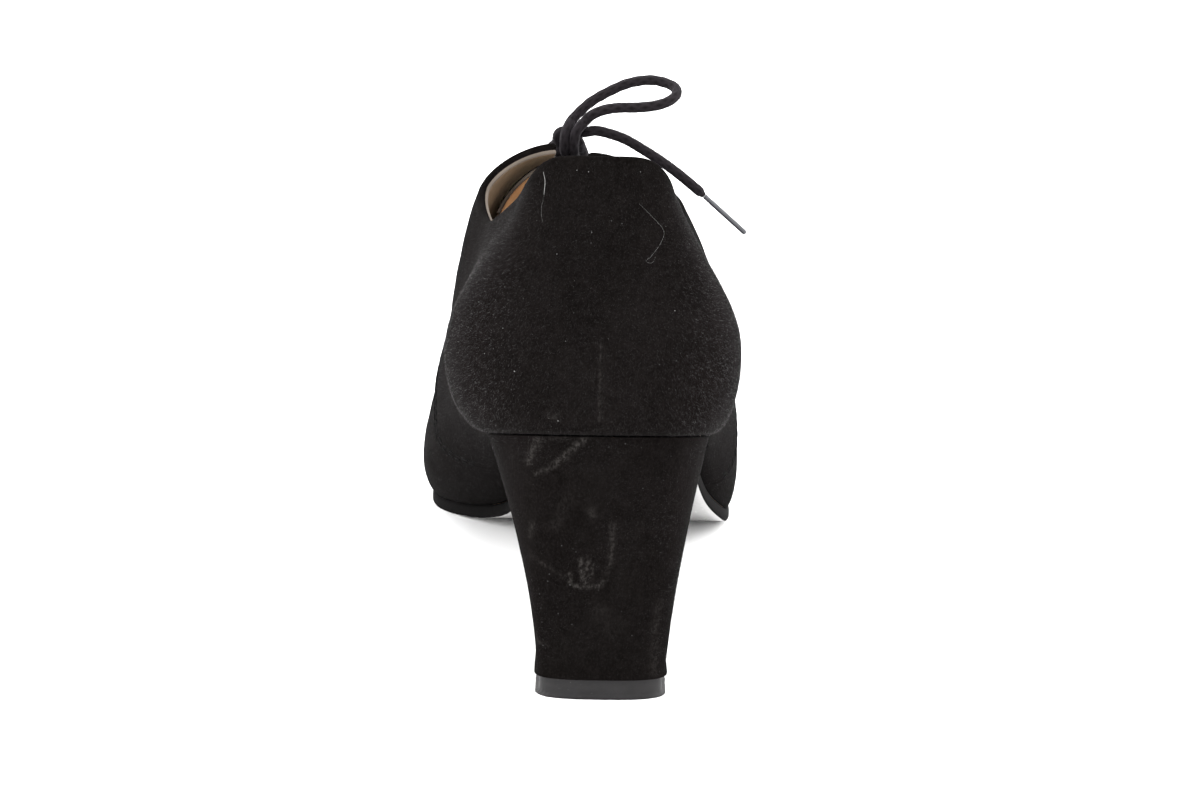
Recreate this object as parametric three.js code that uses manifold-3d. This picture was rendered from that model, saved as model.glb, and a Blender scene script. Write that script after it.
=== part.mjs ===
// Lace-up court shoe with a covered block heel, for the right foot.
// Millimetres, +Z up, toe towards +Y, outer side of the foot towards +X.
import * as THREE from "three";
import { mergeVertices } from "three/addons/utils/BufferGeometryUtils.js";
import Module from "manifold-3d";

const wasm = await Module();
wasm.setup();

// Driving dimensions of the shoe
const length = 246; // back of the counter to the tip of the toe
const ballWidth = 85; // across the upper at the ball of the foot
const seatHeight = 57.8; // floor to the back of the heel seat
const instepHeight = 80; // sole to the crest of the last at the instep
const wall = 1.8; // suede and lining together
const seam = 0.3; // clearance between pieces that touch

// Sole, insole and heel
const soleThickness = 3.2;
const soleMargin = 0.6; // how far the sole edge stands out past the feather line
const soleBevel = 0.7;
const insoleThickness = 2.2;
const insoleInset = 2.6;
const breastSection = 4.6; // section number at which the heel ends and the outsole begins
const breastGap = 0.025; // in sections
const heelFootWidth = 27.4;
const heelFootDepth = 32;
const heelFootBack = 7; // back of the heel's foot, forward of the counter
const heelFootSide = 1.6; // the heel stands a little to the outer side
const heelFootRound = 0.2; // share of the foot's depth that its round back takes
const heelFootSquareness = 3.2; // superellipse exponent of the foot's round back
const heelFlare = { outer: 1.25, inner: 1.65 }; // how late the heel widens on its way up
const topPieceThickness = 4.1;
const topPieceInset = 0.7;
const topPieceBevel = 0.9;

// Collar, throat and tongue
const collarBack = 114.6; // height of the collar over the floor at the back seam
const slotHalf = 4.6; // half the gap between the facings at the top
const throatTop = 8.15; // section numbers of the slot's two ends
const throatEnd = 10.7;
const cornerRound = 0.05; // softness of the corner between collar and slot
const tongueThickness = 1.7;
const tongueReach = 23; // half width of the tongue
const tongueTop = 7.85;
const tongueEnd = 11.2;
const tongueDrop = 2.6; // room for the lace under the facings
const tongueRise = 0.9; // how far its top end springs up again, over tongueSpring sections
const tongueSpring = 0.6;
const tongueSeat = 0.7; // clearance at the front, where the tongue is sewn under the vamp

// The quarter lies over the vamp in a step that runs from the sole up and forward to the throat.
const panelStep = 0.7;
const seamFoot = { outer: 9.3, inner: 8.3 }; // section numbers at the sole
const seamTop = 10.9; // section number at the crest
const seamRamp = 0.3; // sections over which the step fades
const lastingTurn = 0.06; // share of v over which it thins towards the sole

// Eyelets and lace
const eyeletPairs = 4;
const eyeletReach = 9.5; // from the crest to an eyelet
const eyeletFirst = 8.6; // section numbers of the top and bottom pair
const eyeletLast = 10.05;
const eyeletBore = 1.45; // radius of the hole that the lace runs through
const eyeletBarrel = 0.45;
const eyeletFlange = 2.7;
const eyeletLip = 0.45;
const laceRadius = 1.25;
const knotSize = { across: 7, along: 6.4, up: 5.6 };
const agletRadius = 0.65;
const agletLength = 14;

// One row for each section of the last, from the back seam to the tip of the toe.
// along, girthAlong and crestAlong are shares of the length; rise of the seat height; outer, inner, half and
// side of the ball width; up of the instep height. The feather is the bottom edge of the upper, the girth its
// widest line and the crest its top line. crown is 1 where the section closes flat over the crest, and full
// is 0 where a side of it is slim and 1 where it is boxy.
const SECTION_COLUMNS = [
  "along", "rise", "featherOuter", "featherInner", "girthAlong", "girthOuter", "girthInner", "girthUp",
  "crestAlong", "crestHalf", "crestSide", "crestUp", "crown", "fullOuter", "fullInner",
];
const SECTION_ROWS = [
  [0.022, 1.0, 0, 0, 0.0, 0, 0, 0.21, 0.033, 0, 0, 0.755, 0, 0, 0],
  [0.033, 0.99, 0.145, 0.145, 0.016, 0.18, 0.18, 0.21, 0.036, 0.112, 0, 0.76, 0, 0, 0],
  [0.068, 0.957, 0.24, 0.24, 0.063, 0.305, 0.315, 0.215, 0.053, 0.154, 0, 0.775, 0, 0, 0],
  [0.12, 0.908, 0.28, 0.275, 0.13, 0.354, 0.375, 0.22, 0.09, 0.16, -0.005, 0.81, 0, 0, 0],
  [0.185, 0.845, 0.295, 0.272, 0.195, 0.363, 0.382, 0.22, 0.15, 0.166, -0.02, 0.87, 0, 0, 0],
  [0.25, 0.77, 0.287, 0.256, 0.257, 0.36, 0.378, 0.215, 0.217, 0.18, -0.04, 0.925, 0.12, 0, 0.1],
  [0.31, 0.67, 0.281, 0.24, 0.314, 0.36, 0.383, 0.21, 0.28, 0.13, -0.055, 0.945, 0.62, 0.12, 0.45],
  [0.36, 0.575, 0.283, 0.228, 0.363, 0.366, 0.395, 0.2, 0.335, 0.05, -0.062, 0.963, 1, 0.3, 0.85],
  [0.405, 0.48, 0.294, 0.223, 0.407, 0.378, 0.413, 0.19, 0.385, 0, -0.075, 0.982, 1, 0.4, 0.75],
  [0.45, 0.378, 0.312, 0.225, 0.451, 0.393, 0.44, 0.185, 0.433, 0, -0.088, 0.95, 1, 0.45, 0.58],
  [0.5, 0.262, 0.343, 0.237, 0.501, 0.412, 0.474, 0.178, 0.486, 0, -0.098, 0.89, 1, 0.45, 0.5],
  [0.555, 0.152, 0.386, 0.278, 0.555, 0.43, 0.508, 0.168, 0.543, 0, -0.105, 0.805, 1, 0.45, 0.45],
  [0.61, 0.08, 0.412, 0.382, 0.61, 0.44, 0.53, 0.158, 0.6, 0, -0.11, 0.708, 1, 0.45, 0.45],
  [0.665, 0.06, 0.415, 0.492, 0.665, 0.43, 0.54, 0.15, 0.658, 0, -0.113, 0.596, 1, 0.45, 0.45],
  [0.72, 0.06, 0.378, 0.508, 0.72, 0.4, 0.526, 0.145, 0.714, 0, -0.115, 0.488, 1, 0.45, 0.45],
  [0.775, 0.065, 0.322, 0.474, 0.776, 0.348, 0.49, 0.14, 0.769, 0, -0.115, 0.4, 1, 0.45, 0.45],
  [0.83, 0.08, 0.25, 0.412, 0.833, 0.282, 0.438, 0.135, 0.822, 0, -0.114, 0.337, 1, 0.45, 0.45],
  [0.882, 0.101, 0.174, 0.336, 0.888, 0.202, 0.368, 0.13, 0.87, 0, -0.112, 0.292, 1, 0.45, 0.45],
  [0.926, 0.125, 0.085, 0.258, 0.937, 0.108, 0.283, 0.125, 0.91, 0, -0.11, 0.26, 1, 0.45, 0.45],
  [0.962, 0.146, -0.002, 0.172, 0.977, 0.012, 0.188, 0.12, 0.938, 0, -0.108, 0.236, 1, 0.45, 0.45],
  [0.98, 0.156, -0.106, 0.106, 1.0, -0.106, 0.106, 0.118, 0.95, 0, -0.106, 0.225, 1, 0.45, 0.45],
];
const SECTIONS = SECTION_ROWS.map((row) => Object.fromEntries(SECTION_COLUMNS.map((name, i) => [name, row[i]])));
const TOE = SECTIONS.length - 1;
const AROUND = 2 * TOE; // section numbers run out along the outer side and back along the inner side

// Height of the collar over the floor, as shares of its height at the back seam, at section numbers.
const COLLAR = [
  { section: 0, outer: 1, inner: 1 },
  { section: 1, outer: 0.995, inner: 0.995 },
  { section: 2, outer: 0.96, inner: 0.96 },
  { section: 3, outer: 0.921, inner: 0.921 },
  { section: 4, outer: 0.863, inner: 0.863 },
  { section: 5, outer: 0.816, inner: 0.82 },
  { section: 6, outer: 0.8, inner: 0.812 },
  { section: 7, outer: 0.835, inner: 0.858 },
  { section: 8, outer: 0.9, inner: 0.946 },
  { section: 9, outer: 0.95, inner: 0.96 },
];

// Fullness of the section's curves, as shares of the distance that each curve covers.
const footReach = 0.62;
const footLift = 0.12;
const undersideTurn = 0.55;
const sideTurn = { slim: 0.31, boxy: 0.75 };
const crestTurn = { slim: 0.42, boxy: 0.8 };
const collarTurn = 0.42;
const girthShare = 0.28; // the part of v that lies under the girth line

const mix = (a, b, t) => a + (b - a) * t;
const clamp01 = (t) => Math.min(1, Math.max(0, t));
const smooth = (t) => clamp01(t) ** 2 * (3 - 2 * clamp01(t));

// A smooth closed curve through evenly numbered values: one cubic to a span, with slopes that keep the bend continuous.
function closedSpline(values) {
  const n = values.length;
  const turn = (i) => ((i % n) + n) % n;
  const step = (i) => values[turn(i + 1)] - values[turn(i - 1)];
  const slopes = values.map((_, i) => step(i) / 2);
  const rounds = 40;
  for (let round = 0; round < rounds; round += 1)
    for (let i = 0; i < n; i += 1) slopes[i] = (3 * step(i) - slopes[turn(i - 1)] - slopes[turn(i + 1)]) / 4;
  return (u) => {
    const i = Math.floor(u);
    const t = u - i;
    const [a, b, ma, mb] = [values[turn(i)], values[turn(i + 1)], slopes[turn(i)], slopes[turn(i + 1)]];
    return a + t * ma + t * t * (3 * (b - a) - 2 * ma - mb) + t * t * t * (2 * (a - b) + ma + mb);
  };
}

// A column of the table as a closed spline: down the outer side and back along the inner side.
const around = (outer, inner) =>
  closedSpline([...SECTIONS.map(outer), ...SECTIONS.slice(1, TOE).reverse().map(inner)]);
const both = (read) => around(read, read);
const soleTop = (s) => soleThickness + seam + (seatHeight - soleThickness - seam) * floorShare(s);
// The share of the rise over the ball, where the sole lies flat.
const flatRise = Math.min(...SECTIONS.map((s) => s.rise));
const floorShare = (s) => (s.rise - flatRise) / (1 - flatRise);

const rails = {
  feather: {
    x: around((s) => s.featherOuter * ballWidth, (s) => -s.featherInner * ballWidth),
    y: both((s) => s.along * length),
    z: both(soleTop),
  },
  girth: {
    x: around((s) => s.girthOuter * ballWidth, (s) => -s.girthInner * ballWidth),
    y: both((s) => s.girthAlong * length),
    z: both((s) => soleTop(s) + s.girthUp * instepHeight),
  },
  crest: {
    x: around(
      (s) => (s.crestSide + s.crestHalf) * ballWidth,
      (s) => (s.crestSide - s.crestHalf) * ballWidth,
    ),
    y: both((s) => s.crestAlong * length),
    z: both((s) => soleTop(s) + s.crestUp * instepHeight),
  },
};
const crestSide = both((s) => s.crestSide * ballWidth);
const crownOf = both((s) => s.crown);
const fullOf = around((s) => s.fullOuter, (s) => s.fullInner);
const collarHeight = closedSpline([
  ...COLLAR.map((c) => c.outer * collarBack),
  ...COLLAR.slice(1).reverse().map((c) => c.inner * collarBack),
]);

const sectionOf = (u) => (u > TOE ? AROUND - u : u); // the section number, on either side
const sideOf = (u) => (u > TOE ? -1 : 1);

function railPoint(rail, u) {
  return new THREE.Vector3(rail.x(u), rail.y(u), rail.z(u));
}

// From this section on, the crest is one line, shared by both sides.
const crestJoins = 8;
function crestPoint(u) {
  const point = railPoint(rails.crest, u);
  const open = 1 - smooth(sectionOf(u) - (crestJoins - 1));
  point.x = mix(crestSide(u), point.x, open);
  return point;
}

// The four control points of the section's lower curve, feather to girth, and of its upper one, girth to crest.
function sectionCurves(u) {
  const feather = railPoint(rails.feather, u);
  const girth = railPoint(rails.girth, u);
  const crest = crestPoint(u);
  const out = girth.clone().sub(feather).setZ(0);
  const up = girth.z - feather.z;
  const footHandle = out.clone().multiplyScalar(footReach).setZ(up * footLift);
  const rise = crest.z - girth.z;
  const span = girth.clone().sub(crest).setZ(0);
  const crown = clamp01(crownOf(u));
  const full = fullOf(u);
  const flat = new THREE.Vector3(span.x * mix(crestTurn.slim, crestTurn.boxy, full), 0, 0);
  const steep = new THREE.Vector3(0, 0, -rise * collarTurn);
  return {
    lower: [feather, feather.clone().add(footHandle), girth.clone().setZ(girth.z - up * undersideTurn), girth],
    upper: [
      girth,
      girth.clone().setZ(girth.z + rise * mix(sideTurn.slim, sideTurn.boxy, full)),
      crest.clone().add(steep.lerp(flat, crown)),
      crest,
    ],
  };
}

function bezier([a, b, c, d], t) {
  const s = 1 - t;
  return new THREE.Vector3()
    .addScaledVector(a, s * s * s)
    .addScaledVector(b, 3 * s * s * t)
    .addScaledVector(c, 3 * s * t * t)
    .addScaledVector(d, t * t * t);
}

function bezierSlope([a, b, c, d], t) {
  const s = 1 - t;
  return new THREE.Vector3()
    .addScaledVector(b.clone().sub(a), 3 * s * s)
    .addScaledVector(c.clone().sub(b), 6 * s * t)
    .addScaledVector(d.clone().sub(c), 3 * t * t);
}

// The outer skin of the last at u round the foot and v from the feather line, 0, to the crest, 1.
function skinPoint(u, v) {
  const { lower, upper } = sectionCurves(u);
  return v < girthShare ? bezier(lower, v / girthShare) : bezier(upper, (v - girthShare) / (1 - girthShare));
}

function skinNormal(u, v) {
  const { lower, upper } = sectionCurves(u);
  const upward =
    v < girthShare ? bezierSlope(lower, v / girthShare) : bezierSlope(upper, (v - girthShare) / (1 - girthShare));
  const nudge = 0.01;
  const onward = skinPoint(u + nudge, v).sub(skinPoint(u - nudge, v));
  return onward.cross(upward).normalize();
}

// The normal on the closed crest, where the two sides meet in one line.
function crestNormal(u) {
  return skinNormal(u, 1).add(skinNormal(AROUND - u, 1)).normalize();
}

// A point that lies depth under the skin, or over it where depth is negative.
function underSkin(u, v, depth) {
  const onCrest = v > 0.9999 && sectionOf(u) > crestJoins - 0.001;
  return skinPoint(u, v).addScaledVector(onCrest ? crestNormal(u) : skinNormal(u, v), -depth);
}

// How far the upper's outside stands over the skin: the quarter's step over the vamp.
function panelHeight(u, v) {
  const foot = sideOf(u) > 0 ? seamFoot.outer : seamFoot.inner;
  const seamSection = mix(seamTop, foot, (1 - v) ** 3);
  return panelStep * smooth(0.5 + (seamSection - sectionOf(u)) / seamRamp) * clamp01(v / lastingTurn);
}

// A point over the outside of the upper.
function overPanel(u, v, lift) {
  return underSkin(u, v, -panelHeight(u, v) - lift);
}

// The v between low and 1 at which measure(point), which shrinks towards the crest, comes down to target.
function solveUp(u, measure, target) {
  let [low, high] = [girthShare, 1];
  for (let round = 0; round < 26; round += 1) {
    const middle = (low + high) / 2;
    if (measure(skinPoint(u, middle)) > target) low = middle;
    else high = middle;
  }
  return (low + high) / 2;
}
const atReach = (u, reach) => solveUp(u, (p) => Math.abs(p.x - crestSide(u)), reach);
const atHeight = (u, z) => solveUp(u, (p) => -p.z, -z);

const smoothMin = (a, b, k) => {
  const h = clamp01(0.5 + (b - a) / (2 * k));
  return mix(b, a, h) - k * h * (1 - h);
};

const isOpen = (section) => section < throatEnd - 0.001;

// The v of the upper's top edge: the collar, then the edge of the facing, then the closed crest.
function topEdge(u) {
  const section = sectionOf(u);
  if (!isOpen(section)) return 1;
  const last = COLLAR.length - 1;
  const height = collarHeight(sideOf(u) * section);
  if (section <= 5) return atHeight(u, height);
  const gap = slotHalf * Math.sqrt(clamp01((throatEnd - section) / (throatEnd - throatTop)));
  const facing = section > crestJoins - 0.5 ? atReach(u, gap) : 1;
  const collar = section < last ? atHeight(u, height) : 1;
  return section < throatTop - 1.5 ? collar : Math.min(facing, smoothMin(collar, facing, cornerRound));
}

// Section numbers from one to another in steps, with the ends kept.
function stations(from, to, step) {
  const count = Math.max(1, Math.round((to - from) / step));
  return Array.from({ length: count + 1 }, (_, i) => mix(from, to, i / count));
}

// Faces as lists of points become one closed mesh. Faces that have shrunk to a line are left out.
function meshOf(faces) {
  const corners = faces.flatMap((face) => face.slice(2).flatMap((c, i) => [face[0], face[i + 1], c]));
  const soup = new THREE.BufferGeometry().setFromPoints(corners);
  const merged = mergeVertices(soup, 1e-4);
  const index = Array.from(merged.index.array);
  const kept = [];
  for (let i = 0; i < index.length; i += 3) {
    const [a, b, c] = index.slice(i, i + 3);
    if (a !== b && b !== c && c !== a) kept.push(a, b, c);
  }
  merged.setIndex(kept);
  return merged;
}

// The quads between two rows of points, facing by the right-hand rule from the first row to the second.
function strip(first, second) {
  return first.slice(1).map((_, i) => [first[i], first[i + 1], second[i + 1], second[i]]);
}

function solidOf(geometry) {
  const plain = geometry.clone();
  plain.deleteAttribute("normal");
  plain.deleteAttribute("uv");
  const merged = mergeVertices(plain, 1e-4);
  return new wasm.Manifold(
    new wasm.Mesh({
      numProp: 3,
      vertProperties: merged.attributes.position.array,
      triVerts: new Uint32Array(merged.index.array),
    }),
  );
}

function geometryOf(solid) {
  const mesh = solid.getMesh();
  const geometry = new THREE.BufferGeometry();
  geometry.setAttribute("position", new THREE.BufferAttribute(mesh.vertProperties, 3));
  geometry.setIndex(new THREE.BufferAttribute(mesh.triVerts, 1));
  return geometry;
}

// Upper: one wall of suede and lining, open at the collar, the throat and underneath
function upperGeometry() {
  const half = [
    ...stations(0, 5, 0.5),
    ...stations(5, 7, 0.35).slice(1),
    ...stations(7, throatTop + 0.15, 0.14).slice(1),
    ...stations(throatTop + 0.15, throatEnd, 0.4).slice(1),
    ...stations(throatEnd, TOE, 0.6).slice(1),
  ];
  const ring = [...half, ...half.slice(1, -1).reverse().map((s) => AROUND - s)];
  ring.push(ring[0]);
  const lowRows = 3;
  const highRows = 7;
  const grid = (place) =>
    ring.map((u) => {
      const top = topEdge(u);
      const low = stations(0, girthShare, girthShare / lowRows);
      const high = stations(girthShare, top, (top - girthShare) / highRows).slice(1);
      return [...low, ...high].map((v) => place(u, v));
    });
  const outer = grid((u, v) => overPanel(u, v, 0));
  const inner = grid((u, v) => underSkin(u, v, wall));
  const faces = [];
  ring.slice(1).forEach((u, i) => {
    const open = isOpen(Math.min(sectionOf(u), sectionOf(ring[i])));
    faces.push(...strip(outer[i], outer[i + 1]).map((f) => f.reverse()), ...strip(inner[i], inner[i + 1]));
    faces.push([outer[i][0], outer[i + 1][0], inner[i + 1][0], inner[i][0]].reverse());
    if (open) faces.push([outer[i].at(-1), outer[i + 1].at(-1), inner[i + 1].at(-1), inner[i].at(-1)]);
  });
  return meshOf(faces);
}

const eyelets = Array.from({ length: eyeletPairs }, (_, pair) =>
  [1, -1].map((side) => {
    const section = mix(eyeletFirst, eyeletLast, pair / (eyeletPairs - 1));
    const u = side > 0 ? section : AROUND - section;
    const v = atReach(u, eyeletReach);
    return { pair, side, at: overPanel(u, v, 0), normal: skinNormal(u, v) };
  }),
).flat();

function aimed(mesh, point, direction) {
  mesh.position.copy(point);
  mesh.quaternion.setFromUnitVectors(new THREE.Vector3(0, 1, 0), direction);
  return mesh;
}

// The upper with a hole for each eyelet's barrel.
function piercedUpper() {
  const radius = eyeletBore + eyeletBarrel + seam;
  let body = solidOf(upperGeometry());
  for (const eyelet of eyelets) {
    const drill = aimed(new THREE.Mesh(new THREE.CylinderGeometry(radius, radius, 6 * wall, 12)), eyelet.at, eyelet.normal);
    drill.updateMatrix();
    body = body.subtract(solidOf(drill.geometry.clone().applyMatrix4(drill.matrix)));
  }
  return geometryOf(body);
}

// A ring with a flange on the facing and a barrel through it, turned about its own axis.
function eyeletGeometry() {
  const barrel = eyeletBore + eyeletBarrel;
  const foot = -(wall + panelStep + seam);
  const profile = [
    [eyeletBore, foot],
    [barrel, foot],
    [barrel, seam],
    [eyeletFlange, seam],
    [eyeletFlange - 0.3, seam + eyeletLip],
    [eyeletBore, seam + eyeletLip],
    [eyeletBore, foot],
  ];
  return new THREE.LatheGeometry(profile.map(([r, y]) => new THREE.Vector2(r, y)), 12);
}

// A flat piece of leather cut to the last's bottom: rows of points across it, from one section to another.
function bottomPiece({ from, to, step, margin, top, thickness, bevel, floor }) {
  const outline = (u, grow) => {
    const nudge = 0.01;
    const here = railPoint(rails.feather, u).setZ(0);
    const onward = railPoint(rails.feather, u + nudge).sub(railPoint(rails.feather, u - nudge)).setZ(0).normalize();
    return here.add(new THREE.Vector3(onward.y, -onward.x, 0).multiplyScalar(grow));
  };
  const across = 4;
  const layers = [
    { grow: margin, drop: 0 },
    { grow: margin, drop: Math.max(0, thickness - bevel) },
    { grow: margin - bevel, drop: thickness },
  ];
  const rows = stations(from, to, step).map((section) => {
    const lift = rails.feather.z(section) + top;
    return layers.map(({ grow, drop }) => {
      const z = floor ? Math.max(lift - drop, thickness - drop) : lift - drop;
      const outer = outline(section, grow);
      const inner = outline(AROUND - section, grow);
      if (section === TOE || section === 0) outer.x = inner.x = (outer.x + inner.x) / 2;
      return stations(0, 1, 1 / across).map((t) => outer.clone().lerp(inner, t).setZ(z));
    });
  });
  const ringOf = ([topRow, edgeRow, lowRow]) => [
    ...topRow, edgeRow.at(-1), ...lowRow.slice().reverse(), edgeRow[0], topRow[0],
  ];
  const rings = rows.map(ringOf);
  const faces = rings.slice(1).flatMap((ring, i) => strip(rings[i], ring).map((f) => f.reverse()));
  const cap = ([topRow, edgeRow, lowRow]) => [
    ...strip(topRow, [edgeRow[0], ...lowRow.slice(1, -1), edgeRow.at(-1)]),
    [edgeRow[0], lowRow[1], lowRow[0]],
    [edgeRow.at(-1), lowRow.at(-1), lowRow.at(-2)],
  ];
  if (from > 0) faces.push(...cap(rows[0]));
  return meshOf(faces);
}

// Outline of the heel's foot: round at the back, straight at the breast. side runs from -1 to 1 round the back.
function heelFoot(angle) {
  const power = 2 / heelFootSquareness;
  const reach = heelFootDepth * heelFootRound;
  const back = Math.cos(angle);
  const x = heelFootSide + (heelFootWidth / 2) * Math.sign(Math.sin(angle)) * Math.abs(Math.sin(angle)) ** power;
  return new THREE.Vector2(x, heelFootBack + reach * (1 - Math.max(0, back) ** power));
}

const heelAround = 26;
const heelSides = 5;
// Matching points of the heel's foot and of the seat above it, from the breast's outer corner round the back.
function heelOutlines() {
  const foot = [];
  const seat = [];
  const frontY = heelFootBack + heelFootDepth;
  const push = (point, u) => {
    foot.push(point);
    seat.push(railPoint(rails.feather, u));
  };
  const straight = stations(1, 0, -1 / heelSides).slice(0, -1);
  straight.forEach((t) => {
    const turn = heelFoot(Math.PI / 2);
    push(new THREE.Vector2(turn.x, mix(turn.y, frontY, t)), mix(3, breastSection, t));
  });
  stations(1, -1, -2 / heelAround).forEach((t) => push(heelFoot((t * Math.PI) / 2), t >= 0 ? 3 * t : AROUND + 3 * t));
  straight.reverse().forEach((t) => {
    const turn = heelFoot(-Math.PI / 2);
    push(new THREE.Vector2(turn.x, mix(turn.y, frontY, t)), AROUND - mix(3, breastSection, t));
  });
  return { foot, seat };
}

// The flat face inside a heel outline, facing down.
function heelCap(ring) {
  const half = (ring.length - 1) / 2;
  return strip(ring.slice(0, half + 1), ring.slice(half).reverse());
}

function heelGeometry() {
  const { foot, seat } = heelOutlines();
  const low = topPieceThickness + seam;
  const levels = stations(0, 1, 1 / 9);
  const rings = levels.map((t) =>
    foot.map((p, i) => {
      const outward = smooth(0.5 + (p.x - heelFootSide) / heelFootWidth);
      const flare = t ** mix(heelFlare.inner, heelFlare.outer, outward);
      return new THREE.Vector3(mix(p.x, seat[i].x, flare), mix(p.y, seat[i].y, flare), mix(low, seat[i].z - seam, t));
    }),
  );
  const closed = (ring) => [...ring, ring[0]];
  const faces = rings.slice(1).flatMap((ring, i) => strip(closed(rings[i]), closed(ring)).map((f) => f.reverse()));
  faces.push(...heelCap(rings[0]), ...heelCap(rings.at(-1)).map((f) => f.reverse()));
  return meshOf(faces);
}

function topPieceGeometry() {
  const { foot } = heelOutlines();
  const centre = new THREE.Vector2(heelFootSide, heelFootBack + heelFootDepth / 2);
  const ringAt = (inset, z) =>
    foot.map((p) => {
      const moved = centre.clone().lerp(p, 1 - (2 * inset) / heelFootWidth);
      return new THREE.Vector3(moved.x, moved.y, z);
    });
  const rings = [
    ringAt(topPieceInset, topPieceThickness),
    ringAt(topPieceInset, topPieceBevel),
    ringAt(topPieceInset + topPieceBevel, 0),
  ];
  const closed = (ring) => [...ring, ring[0]];
  return meshOf([
    ...strip(closed(rings[0]), closed(rings[1])),
    ...strip(closed(rings[1]), closed(rings[2])),
    ...heelCap(rings[0]).map((f) => f.reverse()),
    ...heelCap(rings[2]),
  ]);
}

// Tongue: a strip under the facings, from just over the collar to under the vamp
function tongueGeometry() {
  const halfRows = 6;
  const shell = (depth) =>
    stations(tongueTop, tongueEnd, 0.28).map((section) => {
      const narrowing = mix(1, 0.8, clamp01((section - tongueTop) / (tongueEnd - tongueTop)));
      const spring = tongueRise * (1 - smooth((section - tongueTop) / tongueSpring));
      const drop = mix(tongueDrop, tongueSeat, smooth((section - eyeletLast) / (tongueEnd - eyeletLast))) - spring;
      const side = (u) => {
        const edge = atReach(u, tongueReach * narrowing);
        return stations(edge, 1, (1 - edge) / halfRows).map((v) => underSkin(u, v, wall + drop + depth));
      };
      const outer = side(section);
      const inner = side(AROUND - section).reverse();
      const middle = outer.at(-1).clone().lerp(inner[0], 0.5);
      return [...outer.slice(0, -1), middle, ...inner.slice(1)];
    });
  const face = shell(0);
  const back = shell(tongueThickness);
  const faces = [];
  face.slice(1).forEach((row, i) => {
    faces.push(...strip(face[i], row).map((f) => f.reverse()), ...strip(back[i], back[i + 1]));
    faces.push([face[i][0], row[0], back[i + 1][0], back[i][0]].reverse());
    faces.push([face[i].at(-1), row.at(-1), back[i + 1].at(-1), back[i].at(-1)]);
  });
  faces.push(...strip(face[0], back[0]));
  faces.push(...strip(face.at(-1), back.at(-1)).map((f) => f.reverse()));
  return meshOf(faces);
}

// A point over the instep: section number, reach from the crest, outer side positive, and lift over the upper.
function overInstep(section, reach, lift) {
  const u = reach >= 0 ? section : AROUND - section;
  const v = Math.abs(reach) < 0.05 ? 1 : atReach(u, Math.abs(reach));
  return overPanel(u, v, lift);
}

function cordGeometry(points, radius, steps, tension = 0.5) {
  const sides = 8;
  const section = new THREE.Shape(
    Array.from({ length: sides }, (_, i) => {
      const angle = (2 * Math.PI * i) / sides;
      return new THREE.Vector2(radius * Math.cos(angle), radius * Math.sin(angle));
    }),
  );
  const path = new THREE.CatmullRomCurve3(points, false, "catmullrom", tension);
  return new THREE.ExtrudeGeometry(section, { extrudePath: path, steps, bevelEnabled: false });
}

const sectionOfPair = (pair) => mix(eyeletFirst, eyeletLast, pair / (eyeletPairs - 1));
const laceLift = seam + eyeletLip + seam + laceRadius; // centre of the crossings over the upper

// The bars at the bottom and the top pair of eyelets and the crossings between them, joined into one solid.
function crossingsGeometry() {
  const run = (fromPair, toPair, side) =>
    stations(0, 1, 0.2).map((t) =>
      overInstep(
        mix(sectionOfPair(fromPair), sectionOfPair(toPair), t),
        side * mix(eyeletReach, -eyeletReach, t),
        laceLift,
      ),
    );
  const runs = [run(eyeletPairs - 1, eyeletPairs - 1, 1), run(0, 0, 1)];
  for (let pair = eyeletPairs - 1; pair > 0; pair -= 1) runs.push(run(pair, pair - 1, 1), run(pair, pair - 1, -1));
  const joined = runs.map((points) => solidOf(cordGeometry(points, laceRadius, 5))).reduce((a, b) => a.add(b));
  return geometryOf(joined);
}

// Bow: the knot over the top pair of eyelets, a loop and an end thrown to the outer side, the others forward.
// Each route is a list of points given from the knot's centre: across, along and up.
const knotCentre = overInstep(sectionOfPair(0), 0, laceLift + laceRadius + seam + knotSize.up / 2);
const laceSpacing = 2; // steps along a cord, in diameters
const ROUTES = {
  lace_loop_outer: [
    [0.2, 1, 3.8], [1.7, 1.8, 5.4], [4.6, 2.7, 8], [8.5, 3.6, 10.3], [13.5, 4.4, 12.5], [18.5, 4.6, 13.4],
    [22.2, 3.8, 13], [24.8, 1.8, 12], [25.2, -0.8, 10.6], [23.4, -3, 9.2], [20.2, -4, 8.2], [16, -4.1, 7.7],
    [11.4, -3.6, 7.5], [7.8, -2.9, 6.8], [5, -2.3, 5.5], [3.4, -1.6, 3.9],
  ],
  lace_end_outer: [
    [4.1, 0.4, 1.2], [5.8, 0.6, 1.5], [8.6, 0.9, 1], [13, 1.5, -0.5], [17.4, 2.1, -3], [21.8, 2.8, -5.8],
    [26.2, 3.4, -9], [30.6, 4, -12.6], [32.5, 4.3, -14.3],
  ],
  lace_loop_inner: [
    [-2.8, 3.2, -1.2], [-5.6, 8, -4.6], [-10, 15.5, -10.8], [-14.8, 23, -18.6], [-16.2, 28.4, -24],
    [-12.8, 31.6, -26.8], [-8, 30, -25], [-5.4, 24.4, -19], [-3.8, 17, -12.2], [-1.8, 10, -6.2], [-0.9, 4.4, -1.8],
  ],
  lace_end_inner: [
    [2, 3.6, -1.4], [3.4, 9, -5.6], [5.6, 17, -12.6], [8.8, 25, -20.5], [12, 32, -28], [14.5, 36.5, -32.8],
  ],
};

function routePoints(name) {
  return ROUTES[name].map(([across, along, up]) => new THREE.Vector3(across, along, up).add(knotCentre));
}

function lengthOf(points) {
  return points.slice(1).reduce((sum, point, i) => sum + point.distanceTo(points[i]), 0);
}

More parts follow.
